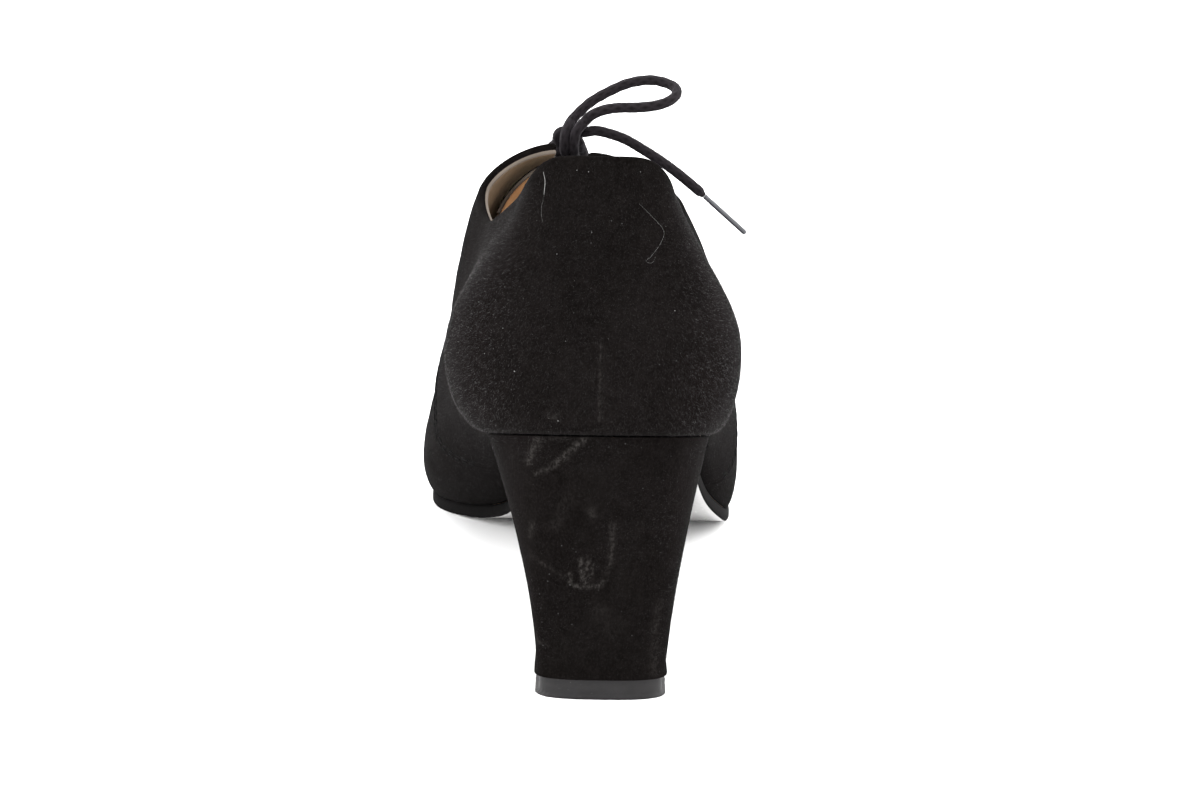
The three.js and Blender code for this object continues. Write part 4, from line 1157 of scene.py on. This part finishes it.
def add_nap(build, roots, normals, shine, seed):
    """A tapered blade of nap from each root: it leans down the suede with a random turn. shine is how pale
    each blade is."""
    draw = np.random.default_rng(seed)
    count = len(roots)
    lean = draw.normal(size=(count, 3)) * 0.8 + [0, 0.15, -1]
    lean = unit(lean - normals * np.sum(lean * normals, axis=1, keepdims=True))
    size = NAP["length"] * draw.uniform(0.5, 1.25, size=(count, 1))
    tip = roots + normals * size * draw.uniform(0.25, 0.75, size=(count, 1)) + lean * size * 0.8
    side = np.cross(lean, normals) * NAP["width"] / 2
    foot = roots - normals * 0.06
    blades = np.stack([foot - side, foot + side, tip + side * 0.3, tip - side * 0.3], axis=1)
    build.copies(blades, np.array([[0, 1, 2, 3]]), shine=shine[:, None])


def scattered(u_range, count, draw):
    """Random places on the upper between two section numbers of each side, thinned to an even cover, with the
    suede's points and normals there."""
    section = draw.uniform(*u_range, size=3 * count)
    u = np.where(draw.random(3 * count) < 0.5, section, AROUND - section)
    u = np.mod(u, AROUND)
    round_it = np.linspace(0, AROUND, 1601)
    top = np.interp(u, round_it, top_edge(np.mod(round_it, AROUND)))
    v = draw.uniform(0.02, 1, size=3 * count) * top
    here = skin(u, v)
    along = np.linalg.norm(skin(u + 0.02, v) - here, axis=-1) / 0.02
    share = np.where(v < GIRTH_SHARE, GIRTH_SHARE, 1 - GIRTH_SHARE)
    up = np.linalg.norm(skin(u, v, cubic_slope), axis=-1) / share
    area = along * up * top
    kept = draw.random(3 * count) < area / np.quantile(area, 0.97)
    u, v = u[kept][:count], v[kept][:count]
    normal = skin_normal(u, v)
    base = skin(u, v)
    height = panel_height(u, v, PANEL_RAMP) + dent_relief(base) * smooth(v / 0.2) - 0.02
    height += (crease_relief(base, section_of(u), base[..., 0] - CREST_SIDE(u))
               + 0.13 * ripple(base, 34, 3) + 0.05 * ripple(base, 9, 4)) * smooth(v / 0.2)
    return base + normal * height[:, None], normal


def upper_nap_build(u_range, count, seed):
    """Nap on part of the upper. Its blades are painted paler towards the flanks as a highlight, and less pale
    towards the front as shade.
    """
    draw = np.random.default_rng(seed)
    points, normals = scattered(u_range, count, draw)
    thinned = draw.random(len(points)) > 0.72 * smooth((points[:, 1] - 22) / 40) * (u_range[0] == 0)
    points, normals = points[thinned], normals[thinned]
    # Painted highlight: blades are paler towards the flanks. Painted shade: they lose paleness from 20 mm to 80
    # mm forward.
    painted_flank_light_and_front_shade = mix(0.25, 1.35, smooth((np.abs(points[:, 0]) - 11) / 17))
    painted_flank_light_and_front_shade *= mix(1, 0.4, smooth((points[:, 1] - 20) / 60))
    build = Build()
    add_nap(build, points, normals, draw.random(len(points)) ** 3 * painted_flank_light_and_front_shade, seed + 1)
    return build


def heel_nap_build(count, seed):
    """Nap on the heel's cover, painted paler where it faces sideways, as a highlight."""
    draw = np.random.default_rng(seed)
    ring, outward = heel_surface()
    step = np.linalg.norm(np.roll(ring, -1, axis=1) - ring, axis=-1)
    weight = (step * (ring[..., 1] < HEEL_FOOT["back"] + HEEL_FOOT["depth"] - 1)).reshape(-1)
    picked = draw.choice(weight.size, size=count, p=weight / weight.sum())
    row, column = np.unravel_index(picked, step.shape)
    above = np.minimum(row + 1, len(ring) - 1)
    beside = (column + 1) % ring.shape[1]
    a, b = draw.random((2, count, 1))
    points = (ring[row, column] * (1 - a) * (1 - b) + ring[above, column] * a * (1 - b)
              + ring[row, beside] * (1 - a) * b + ring[above, beside] * a * b)
    normals = outward[row, column]
    # Painted highlight: blades are paler where the cover faces sideways.
    corner = smooth((np.abs(normals[:, 0]) - 0.35) / 0.5)
    build = Build()
    add_nap(build, points, normals, draw.random(count) ** 3 * mix(0.35, 0.9, corner), seed + 1)
    return build


def back_surface():
    """Points and normals of the upper and the heel seen from behind, for marks given as across and up."""
    u = np.concatenate([stations(0, (5, 160)), AROUND - stations(0, (5, 160))[1:]])[:, None]
    v = np.linspace(0, 1, 240)[None] * top_edge(u[:, 0])[:, None]
    u = np.broadcast_to(u, v.shape)
    normals = skin_normal(u, v)
    points = skin(u, v) + normals * panel_height(u, v, PANEL_RAMP)[..., None]
    heel, outward = heel_surface()
    points = np.concatenate([points.reshape(-1, 3), heel.reshape(-1, 3)])
    normals = np.concatenate([normals.reshape(-1, 3), outward.reshape(-1, 3)])
    seen = normals[:, 1] < -0.05
    return points[seen], normals[seen]


def nearest(surface, places):
    """The surface's point and normal nearest to each place, given as across and up."""
    points, normals = surface
    distance = np.linalg.norm(points[None][..., [0, 2]] - np.asarray(places)[:, None], axis=-1)
    picked = distance.argmin(axis=1)
    return points[picked], normals[picked]


def lint_build():
    """Thin tubes laid on the suede for the fibres, and small crumpled flakes for the flecks of dust."""
    build = Build()
    surface = back_surface()
    for radius, places in FIBRES:
        flat = np.array([(x, 0, z) for x, z in places], dtype=float)
        drawn = even(through(flat, 12), 0.5)
        points, normals = nearest(surface, drawn[:, [0, 2]])
        path = points + normals * 0.3
        path[:, 0], path[:, 2] = drawn[:, 0], drawn[:, 2]
        taper = np.sin(np.linspace(0.12, math.pi - 0.12, len(path)))[:, None] ** 0.3
        build.add(tube(path, np.linspace(0, 2 * math.pi, 7), radius * taper))
    shape, faces = capsule()
    draw = np.random.default_rng(5)
    marks = np.array(FLECKS)
    strewn = 22
    extra = np.stack([draw.uniform(-31, 29, strewn), draw.uniform(50, 108, strewn),
                      draw.uniform(0.04, 0.09, strewn)], axis=1)
    extra[:, 0] -= 6 * draw.random(strewn)
    marks = np.concatenate([marks, extra])
    points, normals = nearest(surface, marks[:, :2])
    spin = draw.normal(size=(len(marks), 3))
    forward = unit(np.cross(normals, spin))
    side = np.cross(normals, forward)
    crumple = 1 + 0.35 * draw.normal(size=(len(marks), len(shape), 1))
    size = marks[:, 2][:, None, None] * np.array([0.5, 0.4, 0.22])
    local = shape[None] * crumple * size
    turned_shape = np.einsum("npk,nkj->npj", local, np.stack([forward, side, normals], axis=1))
    build.copies(points[:, None] + normals[:, None] * 0.1 + turned_shape, faces)
    return build


# Finishes

class Value:
    """A socket that can be used in Python sums. Each sum adds its Math node."""

    def __init__(self, finish, socket):
        self.finish = finish
        self.socket = socket

    def _math(self, operation, first, second=None):
        inputs = {0: first} if second is None else {0: first, 1: second}
        return self.finish.node("ShaderNodeMath", {"operation": operation}, inputs)

    def __add__(self, other):
        return self._math("ADD", self, other)

    def __radd__(self, other):
        return self._math("ADD", other, self)

    def __sub__(self, other):
        return self._math("SUBTRACT", self, other)

    def __rsub__(self, other):
        return self._math("SUBTRACT", other, self)

    def __mul__(self, other):
        return self._math("MULTIPLY", self, other)

    def __rmul__(self, other):
        return self._math("MULTIPLY", other, self)

    def over(self, low, high):
        """0 under low, 1 over high, smooth between them."""
        settings = {"interpolation_type": "SMOOTHSTEP"}
        return self.finish.node("ShaderNodeMapRange", settings, {0: self, 1: low, 2: high, 3: 0.0, 4: 1.0})

    def least(self, other):
        return self._math("MINIMUM", self, other)

    def most(self, other):
        return self._math("MAXIMUM", self, other)


class Finish:
    """One material: a Principled shader with its fixed numbers, and the nodes that vary over the surface."""

    def __init__(self, name, **fixed):
        self.material = bpy.data.materials.new(name)
        self.material.use_nodes = True
        self.nodes = self.material.node_tree.nodes
        self.shader = self.nodes["Principled BSDF"]
        for socket, value in fixed.items():
            self.shader.inputs[socket.replace("_", " ")].default_value = value

    def node(self, kind, settings=None, inputs=None, output=0):
        made = self.nodes.new(kind)
        for name, value in (settings or {}).items():
            setattr(made, name, value)
        for socket, value in (inputs or {}).items():
            if isinstance(value, Value):
                self.material.node_tree.links.new(value.socket, made.inputs[socket])
            else:
                made.inputs[socket].default_value = value
        return Value(self, made.outputs[output])

    def place(self, stretch=(1, 1, 1)):
        """Object coordinates in metres, stretched by a factor an axis."""
        at = self.node("ShaderNodeTexCoord", output="Object")
        return self.node("ShaderNodeMapping", {"vector_type": "POINT"}, {"Vector": at, "Scale": stretch})

    def noise(self, size, detail=2.0, roughness=0.55, stretch=(1, 1, 1)):
        """Noise whose lumps are about size millimetres wide."""
        inputs = {"Vector": self.place(stretch), "Scale": 1 / (size * MM), "Detail": detail,
                  "Roughness": roughness}
        return self.node("ShaderNodeTexNoise", {}, inputs)

    def cells(self, size):
        """Distance to the middle of Voronoi cells about size millimetres wide."""
        inputs = {"Vector": self.place(), "Scale": 1 / (size * MM)}
        return self.node("ShaderNodeTexVoronoi", {}, inputs, "Distance")

    def attribute(self, name):
        return self.node("ShaderNodeAttribute", {"attribute_name": name}, output="Fac")

    def colour(self, factor, low, high):
        """Colour that goes from low, where factor is 0, to high, where it is 1."""
        low, high = (end if isinstance(end, Value) else (*end, 1) for end in (low, high))
        return self.node("ShaderNodeMix", {"data_type": "RGBA"}, {0: factor, 6: low, 7: high}, output=2)

    def bumps(self, *layers):
        """Bumps laid over each other, each given as its height, depth in millimetres and strength."""
        under = {}
        for height, distance, strength in layers:
            inputs = {"Height": height, "Distance": distance * MM, "Strength": strength, **under}
            under = {"Normal": self.node("ShaderNodeBump", {}, inputs)}
        return under["Normal"]

    def join(self, **varying):
        for socket, value in varying.items():
            self.material.node_tree.links.new(value.socket, self.shader.inputs[socket.replace("_", " ")])
        return self.material


def suede_finish(colours):
    """Napped suede: brushed patches, a short pile that speckles, dust, the rubbed strokes of the heel, and
    painted shade over the forepart.
    """
    made = Finish("black suede", Roughness=1.0, Specular_IOR_Level=0.008, Sheen_Weight=0.006,
                  Sheen_Roughness=0.34, Sheen_Tint=(0.9, 0.9, 0.95, 1))
    brushed = made.noise(13, 3, 0.6, (1, 1, 0.6))
    mottled = made.noise(2.4, 3, 0.6)
    pile = made.noise(0.42, 3, 0.7, (1, 1, 0.7))
    hair = made.noise(0.22, 2, 0.8)
    grain = brushed.over(0.3, 0.75) * 0.3 + mottled.over(0.3, 0.75) * 0.3 + pile.over(0.38, 0.72) * 0.6
    base = made.colour(grain.least(1.0), colours.suede, colours.suede_nap)
    tips = (hair.over(0.6, 0.74) * pile.over(0.45, 0.65)).least(1.0)
    base = made.colour(tips * 0.55, base, colours.suede_tips)
    dust = made.cells(1.9).over(0.1, 0.03) * made.noise(17, 2, 0.6).over(0.5, 0.62)
    base = made.colour(dust * colours.dust, base, colours.dust_colour)
    rough = 0.96 - tips * 0.1
    ragged = made.noise(0.55, 4, 0.75, (1, 1, 0.7)).over(0.42, 0.6)
    worn_patch = made.noise(2.6, 2, 0.6).over(0.3, 0.55)
    rubbed = made.attribute("wear") * (0.1 + 0.9 * ragged) * (0.35 + 0.65 * worn_patch)
    base = made.colour(rubbed.least(1.0), base, colours.rubbed)
    # Painted shade: the forepart's suede is drawn towards a near black.
    base = made.colour(made.attribute("calm") * 0.35, base, (0.0015, 0.0013, 0.0012))
    normal = made.bumps((brushed, 0.5, 0.35), (mottled, 0.22, 0.6), (pile, 0.16, 0.9), (hair, 0.08, 0.8))
    return made.join(Base_Color=base, Roughness=rough, Normal=normal)


def leather_finish(name, dark, light, roughness, coat=0.0, wear=0.0, shine=0.25):
    """Smooth leather: cloudy colour, pores, and grain cells pressed into it."""
    made = Finish(name, Specular_IOR_Level=shine, Coat_Weight=coat, Coat_Roughness=0.2)
    cloud = made.noise(19, 4, 0.6)
    fine = made.noise(1.6, 3, 0.6)
    grain = made.cells(0.9)
    pores = made.cells(0.55).over(0.2, 0.05)
    tone = (cloud.over(0.25, 0.75) * 0.75 + fine * 0.35 - pores * 0.15).least(1.0).most(0.0)
    base = made.colour(tone, dark, light)
    if wear:
        scratched = made.noise(1.2, 4, 0.7, (1, 0.14, 1)).over(0.56, 0.7) * made.noise(30, 2).over(0.45, 0.65)
        base = made.colour(scratched * wear, base, [min(1, 3.2 * c + 0.03) for c in light])
    rough = roughness + 0.16 * (cloud - 0.5) + 0.1 * (fine - 0.5)
    normal = made.bumps((grain, 0.12, 0.35), (fine, 0.1, 0.4))
    return made.join(Base_Color=base, Roughness=rough, Normal=normal)


def rubber_finish(colours):
    """Moulded rubber, ground flat at its sides: fine horizontal marks, dust and pale nicks."""
    made = Finish("lift rubber", Specular_IOR_Level=0.15)
    ground = made.noise(0.9, 3, 0.6, (0.18, 0.18, 1))
    cloud = made.noise(7, 3, 0.6)
    nicks = made.noise(0.7, 3, 0.75).over(0.66, 0.76)
    base = made.colour((cloud.over(0.3, 0.7) * 0.6 + ground * 0.4).least(1.0), colours.rubber,
                       colours.rubber_light)
    base = made.colour(nicks * 0.4, base, (0.16, 0.155, 0.15))
    normal = made.bumps((ground, 0.06, 0.6), (made.noise(1.1, 4, 0.65), 0.1, 0.5))
    return made.join(Base_Color=base, Roughness=0.5 + 0.2 * cloud, Normal=normal)


def cord_finish(colours):
    """Braided cotton: two families of strands slant across each other over the tube's own map, and each
    strand is ribbed by its yarns. The hollows between strands and yarns are painted darker, as shade."""
    made = Finish("lace cord", Roughness=0.9, Specular_IOR_Level=0.08, Sheen_Weight=0.04, Sheen_Roughness=0.5,
                  Sheen_Tint=(0.85, 0.8, 0.88, 1))
    along = made.node("ShaderNodeSeparateXYZ", {}, {0: made.node("ShaderNodeTexCoord", output="UV")})
    round_it = Value(made, along.socket.node.outputs[1])
    turn = 2 * math.pi

    def wave(pace, slant):
        phase = round_it * (turn * pace) + along * (turn * pace * slant)
        return made.node("ShaderNodeMath", {"operation": "SINE"}, {0: phase}) * 0.5 + 0.5

    strands = wave(4, STRAND_SLANT).most(wave(4, -STRAND_SLANT))
    yarns = wave(24, STRAND_SLANT) * 0.5 + wave(24, -STRAND_SLANT) * 0.5
    fuzz = made.noise(0.3, 3, 0.7)
    cloud = made.noise(5, 2)
    # Painted shade: colour darkens into the hollows between the strands and the yarns. Fuzz and cloud are the
    # cord's own tone.
    tone = (strands * 0.6 + yarns * 0.15 + fuzz * 0.3 + cloud * 0.2 - 0.2).least(1.0).most(0.0)
    base = made.colour(tone, colours.cord, colours.cord_light)
    normal = made.bumps((strands, 0.14, 0.7), (yarns, 0.05, 0.6), (fuzz, 0.08, 0.7))
    return made.join(Base_Color=base, Normal=normal)


def nap_finish(colours):
    """Blades of nap, each as pale as its shine says."""
    made = Finish("suede nap", Roughness=0.9, Specular_IOR_Level=0.1)
    tone = (made.attribute("shine") + made.noise(9, 2) * 0.06).least(1.0)
    return made.join(Base_Color=made.colour(tone, colours.suede_nap, colours.hair))


def plain_finish(name, dark, light, roughness, size, **fixed):
    """A hard smooth finish with faint clouds and rubbed high spots."""
    made = Finish(name, **fixed)
    cloud = made.noise(size, 3, 0.6)
    rubs = made.noise(size * 0.3, 3, 0.7).over(0.56, 0.74)
    base = made.colour((cloud * 0.6 + rubs * 0.4).least(1.0), dark, light)
    return made.join(Base_Color=base, Roughness=roughness + 0.14 * (cloud - 0.5) + 0.1 * rubs,
                     Normal=made.bumps((cloud, 0.05, 0.3)))


def studio_finish(name, colour):
    made = Finish(name, Roughness=0.6, Specular_IOR_Level=0.25)
    cloud = made.noise(400, 2)
    return made.join(Base_Color=made.colour(cloud, colour, [min(1, c * 1.01) for c in colour]))


FINISHES = {}


def finish(name):
    """The named material, made the first time it is asked for."""
    if name not in FINISHES:
        colours = bpy.context.scene.shoe_colours
        makers = {
            "suede": lambda: suede_finish(colours),
            "quarter lining": lambda: leather_finish(
                "quarter lining", colours.lining_dark, colours.lining, 0.62),
            "lining edge": lambda: leather_finish(
                "lining edge", (0.05, 0.04, 0.031), (0.115, 0.094, 0.077), 0.8),
            "tongue lining": lambda: leather_finish(
                "tongue lining", (0.4, 0.2, 0.09), (0.62, 0.36, 0.18), 0.6),
            "sock leather": lambda: leather_finish(
                "sock leather", (0.3, 0.16, 0.075), (0.5, 0.3, 0.155), 0.55),
            # The grey of the sole's underside is partly the leather's own colour and partly a painted reflection
            # of the white floor.
            "sole leather and painted reflection": lambda: leather_finish(
                "sole leather and painted reflection", (0.2, 0.198, 0.194), (0.34, 0.335, 0.327), 0.3,
                coat=1.0, wear=0.4, shine=0.6),
            "sole edge": lambda: leather_finish(
                "sole edge", (0.002, 0.002, 0.002), (0.006, 0.0055, 0.0055), 0.9, shine=0.03),
            "lift rubber": lambda: rubber_finish(colours),
            "cord": lambda: cord_finish(colours),
            "nap": lambda: nap_finish(colours),
            "thread": lambda: plain_finish(
                "black thread", (0.002, 0.002, 0.002), (0.006, 0.006, 0.006), 0.8, 0.8,
                Specular_IOR_Level=0.05),
            "lint": lambda: plain_finish("pale lint", (0.09, 0.09, 0.088), (0.36, 0.36, 0.35), 0.9, 0.6),
            "enamel": lambda: plain_finish(
                "black enamel", (0.008, 0.008, 0.009), (0.03, 0.03, 0.032), 0.28, 1.2, Coat_Weight=0.4),
            "aglet": lambda: plain_finish("aglet sheath", (0.02, 0.02, 0.024), (0.06, 0.06, 0.07), 0.35, 1.5),
        }
        FINISHES[name] = makers[name]()
    return FINISHES[name]


# Settings that a user would change

def number_property(name, description, default, **more):
    return bpy.props.FloatProperty(name=name, description=description, default=default, **more)


def colour_property(name, description, default):
    return bpy.props.FloatVectorProperty(
        name=name, description=description, default=default, size=3, subtype="COLOR", min=0, max=1,
    )


class ShoeColours(bpy.types.PropertyGroup):
    """Colours of the finishes."""
    suede: colour_property("Suede", "Ground of the suede", (0.0019, 0.00155, 0.0014))
    suede_nap: colour_property("Nap", "Raised nap of the suede", (0.0060, 0.0051, 0.0049))
    suede_tips: colour_property("Nap tips", "Tips of the pile that catch light", (0.019, 0.0175, 0.0173))
    hair: colour_property("Hair", "Palest hairs of the nap", (0.1, 0.097, 0.097))
    rubbed: colour_property("Rubbed", "Suede where it is scuffed", (0.031, 0.0284, 0.0268))
    dust_colour: colour_property("Dust", "Dust in the nap", (0.25, 0.25, 0.25))
    dust: number_property("Dustiness", "Share of the dust that shows", 0.16, min=0, max=1, subtype="FACTOR")
    lining: colour_property("Lining", "Quarter lining in the light", (0.235, 0.172, 0.113))
    lining_dark: colour_property("Lining shade", "Darker clouds of the quarter lining", (0.14, 0.098, 0.061))
    rubber: colour_property("Lift", "Rubber of the top piece", (0.011, 0.0105, 0.0108))
    rubber_light: colour_property("Lift wear", "Lighter clouds of the rubber", (0.02, 0.019, 0.0195))
    # The lace goes from cord in its hollows, which is painted shade, to cord_light on its strands.
    cord: colour_property("Cord", "Hollows of the lace", (0.0023, 0.0017, 0.0021))
    cord_light: colour_property("Cord strands", "Strands of the lace", (0.0135, 0.0112, 0.013))


class ShoeStudio(bpy.types.PropertyGroup):
    """Camera and light."""
    lens: number_property("Lens", "Focal length", 78, min=10, unit="CAMERA")
    distance: number_property("Distance", "Camera behind the counter", 0.5165, unit="LENGTH", subtype="DISTANCE")
    height: number_property("Height", "Camera over the floor", 0.1802, unit="LENGTH", subtype="DISTANCE")
    pitch: number_property("Pitch", "Tilt of the camera below level", math.radians(12.45), subtype="ANGLE")
    yaw: number_property("Yaw", "Turn to the left, before the swing to the shoe",
                         math.radians(3.75), subtype="ANGLE")
    swing: number_property("Swing", "Turn to the right about the camera's own upright",
                           math.radians(3.87), subtype="ANGLE")
    wash: number_property("Room light", "Strength of the white room", 2.9, min=0)
    sides: number_property("Side light", "Power of each side lamp", 5.2, min=0)
    top: number_property("Top light", "Power of the top lamp", 5.0, min=0)


class ShoeOperator(bpy.types.Operator):
    """Makes pieces of the shoe."""
    bl_options = {"REGISTER", "UNDO"}

    def execute(self, context):
        self.make(context)
        return {"FINISHED"}


class SHOE_OT_stage(ShoeOperator):
    """Sets the floor, the white room, the lamps and the camera"""
    bl_idname = "shoe.stage"
    bl_label = "Stage"

    def make(self, context):
        scene = context.scene
        studio = scene.shoe_studio
        build = Build()
        half = 5000
        ends = np.array([-half, half], dtype=float)
        corners = np.stack(np.broadcast_arrays(ends[:, None], ends, 0), axis=-1)
        build.add(corners - ORIGIN)
        floor = shoe_mesh("floor", build, [studio_finish("studio floor", (0.9, 0.9, 0.9))])
        world = bpy.data.worlds.new("white room")
        world.use_nodes = True
        world.node_tree.nodes["Background"].inputs["Color"].default_value = (1, 1, 1, 1)
        world.node_tree.nodes["Background"].inputs["Strength"].default_value = studio.wash
        scene.world = world
        scene.view_settings.view_transform = "Standard"
        aim = (ORIGIN + [0, 30, 70]) * MM
        lamps = [
            ("left lamp", (-0.75, 0.05, 0.4), 0.7, studio.sides),
            ("right lamp", (0.8, 0.1, 0.4), 0.7, studio.sides * 0.9),
            ("top lamp", (-0.1, 0.25, 0.95), 0.9, studio.top),
        ]
        for name, place, size, power in lamps:
            light = bpy.data.lights.new(name, "AREA")
            light.size = size
            light.energy = power
            lamp = bpy.data.objects.new(name, light)
            lamp.location = place
            lamp.rotation_euler = (Vector(aim) - Vector(place)).to_track_quat("-Z", "Y").to_euler()
            scene.collection.objects.link(lamp)
        camera = bpy.data.objects.new("camera", bpy.data.cameras.new("camera"))
        camera.data.lens = studio.lens
        camera.data.sensor_width = 36
        camera.data.clip_start = 0.01
        eye_side = -1.35
        camera.location = ((ORIGIN[0] + eye_side) * MM, ORIGIN[1] * MM - studio.distance, studio.height)
        ahead = Matrix.Rotation(studio.yaw, 3, "Z") @ Matrix.Rotation(math.pi / 2 - studio.pitch, 3, "X")
        camera.rotation_euler = (ahead @ Matrix.Rotation(-studio.swing, 3, "Y")).to_euler()
        scene.collection.objects.link(camera)
        scene.camera = camera


class SHOE_OT_bow(ShoeOperator):
    """Ties the bow: its knot, two loops, two ends and their sheaths"""
    bl_idname = "shoe.bow"
    bl_label = "Bow"

    def make(self, context):
        knot = Build()
        for strand in KNOT_STRANDS:
            braided_tube(knot, even(through(KNOT_CENTRE + np.array(strand), 24), 0.3))
        settle(shoe_mesh("bow_knot", knot, [finish("cord")]), "lace_cord", "lace_knot")
        for name, route in ROUTES.items():
            loop = name.startswith("lace_loop")
            path = even(through(KNOT_CENTRE + np.array(route), 30), 0.34)
            build = Build()
            braided_tube(build, path, end=1.0 if loop else 0.6)
            piece = shoe_mesh(name.replace("lace_", "bow_"), build, [finish("cord")])
            settle(piece, "lace_cord", name)
            if not loop:
                aglet = name.replace("lace_end", "aglet")
                made = shoe_mesh(aglet.replace("aglet", "sheath"), aglet_build(route), [finish("aglet")])
                settle(made, "aglet_sheath", aglet)


class SHOE_OT_upper(ShoeOperator):
    """Makes the suede upper with its lining, rolled edge, creases and eyelet holes"""
    bl_idname = "shoe.upper"
    bl_label = "Upper"

    def make(self, context):
        finishes = [finish("suede"), finish("quarter lining"), finish("lining edge")]
        piece = shoe_mesh("suede_upper", upper_build(), finishes)
        cut_holes(piece, EYELET["bore"] + EYELET["barrel"] + 0.05)
        settle(piece, "suede", "upper")


class SHOE_OT_tongue(ShoeOperator):
    """Makes the lined tongue"""
    bl_idname = "shoe.tongue"
    bl_label = "Tongue"

    def make(self, context):
        finishes = [finish("suede"), finish("tongue lining"), finish("lining edge")]
        settle(shoe_mesh("lined_tongue", tongue_build(), finishes), "suede", "tongue")


class SHOE_OT_sole(ShoeOperator):
    """Makes the outsole and the sock inside the shoe"""
    bl_idname = "shoe.sole"
    bl_label = "Sole and sock"

    def make(self, context):
        section = stations(BREAST_SECTION + BREAST_GAP, (17, 120), (19.4, 50), (TOE, 30))
        outsole = bottom_build(section, SOLE_MARGIN, -SOLE_SINK, SOLE_THICKNESS + SEAM - SOLE_SINK,
                               SOLE_ROUNDING, True, 0, 1)
        # The outsole's top takes the black edge finish. This is the ink of its edge, and painted shade where it
        # shows in the gap under the upper.
        finishes = [finish("sole edge"), finish("sole leather and painted reflection")]
        settle(shoe_mesh("leather_outsole", outsole, finishes), "sole_leather", "outsole")
        section = stations(0, (0.6, 30), (3, 50), (17, 120), (19.4, 40), (TOE, 30))
        sock = bottom_build(section, -SOCK_INSET, INSOLE_THICKNESS, INSOLE_THICKNESS, 0.3, False, 0.5)
        settle(shoe_mesh("leather_sock", sock, [finish("sock leather")]), "sock_leather", "insole")


class SHOE_OT_heel(ShoeOperator):
    """Makes the suede-covered heel and its rubber top piece"""
    bl_idname = "shoe.heel"
    bl_label = "Heel"

    def make(self, context):
        settle(shoe_mesh("covered_heel", heel_build(), [finish("suede")]), "suede", "heel")
        top_piece = shoe_mesh("rubber_top_piece", top_piece_build(), [finish("lift rubber")])
        settle(top_piece, "lift_rubber", "heel_top_piece")


class SHOE_OT_eyelets(ShoeOperator):
    """Sets the eyelets"""
    bl_idname = "shoe.eyelets"
    bl_label = "Eyelets"

    def make(self, context):
        centres, normals = eyelet_places()
        for pair in range(EYELET_PAIRS):
            for column, side in enumerate(("outer", "inner")):
                build = eyelet_build(centres[pair, column], normals[pair, column])
                name = f"{side}_{pair + 1}"
                ring = shoe_mesh(f"ring_{name}", build, [finish("enamel")])
                settle(ring, "eyelet_enamel", f"eyelet_{name}")


class SHOE_OT_lacing(ShoeOperator):
    """Runs the lace through the eyelets"""
    bl_idname = "shoe.lacing"
    bl_label = "Lacing"

    def make(self, context):
        build = Build()
        for path in lacing_paths():
            braided_tube(build, even(through(path, 16), 0.36))
        settle(shoe_mesh("lacing", build, [finish("cord")]), "lace_cord", "lace_crossings")


class SHOE_OT_nap(ShoeOperator):
    """Raises the nap of the suede"""
    bl_idname = "shoe.nap"
    bl_label = "Nap"

    def make(self, context):
        for name, build in (
            ("counter_nap", upper_nap_build((0, 5.2), 70000, 41)),
            ("forepart_nap", upper_nap_build((5.2, TOE), 60000, 43)),
            ("heel_nap", heel_nap_build(42000, 45)),
        ):
            settle(shoe_mesh(name, build, [finish("nap")], weld=0), "suede")


class SHOE_OT_details(ShoeOperator):
    """Adds the stitches, the fibres and the dust"""
    bl_idname = "shoe.details"
    bl_label = "Stitches and lint"

    def make(self, context):
        settle(shoe_mesh("stitches", stitches_build(), [finish("thread")], weld=1e-5), "suede")
        settle(shoe_mesh("lint", lint_build(), [finish("lint")], weld=1e-5), "suede")


STEPS = (
    SHOE_OT_stage, SHOE_OT_bow, SHOE_OT_upper, SHOE_OT_tongue, SHOE_OT_sole, SHOE_OT_heel, SHOE_OT_eyelets,
    SHOE_OT_lacing, SHOE_OT_nap, SHOE_OT_details,
)


class SHOE_PT_panel(bpy.types.Panel):
    """Lists the steps and the settings"""
    bl_label = "Court shoe"
    bl_idname = "SHOE_PT_panel"
    bl_space_type = "VIEW_3D"
    bl_region_type = "UI"
    bl_category = "Shoe"

    def draw(self, context):
        for step in STEPS:
            self.layout.operator(step.bl_idname)
        for settings in (context.scene.shoe_colours, context.scene.shoe_studio):
            for name in settings.__annotations__:
                self.layout.prop(settings, name)


CLASSES = (ShoeColours, ShoeStudio, *STEPS, SHOE_PT_panel)


def register():
    for item in CLASSES:
        bpy.utils.register_class(item)
    bpy.types.Scene.shoe_colours = bpy.props.PointerProperty(type=ShoeColours)
    bpy.types.Scene.shoe_studio = bpy.props.PointerProperty(type=ShoeStudio)


def unregister():
    del bpy.types.Scene.shoe_colours
    del bpy.types.Scene.shoe_studio
    for item in reversed(CLASSES):
        bpy.utils.unregister_class(item)


def main():
    register()
    for step in STEPS:
        group, name = step.bl_idname.split(".")
        getattr(getattr(bpy.ops, group), name)()


if __name__ == "__main__":
    main()
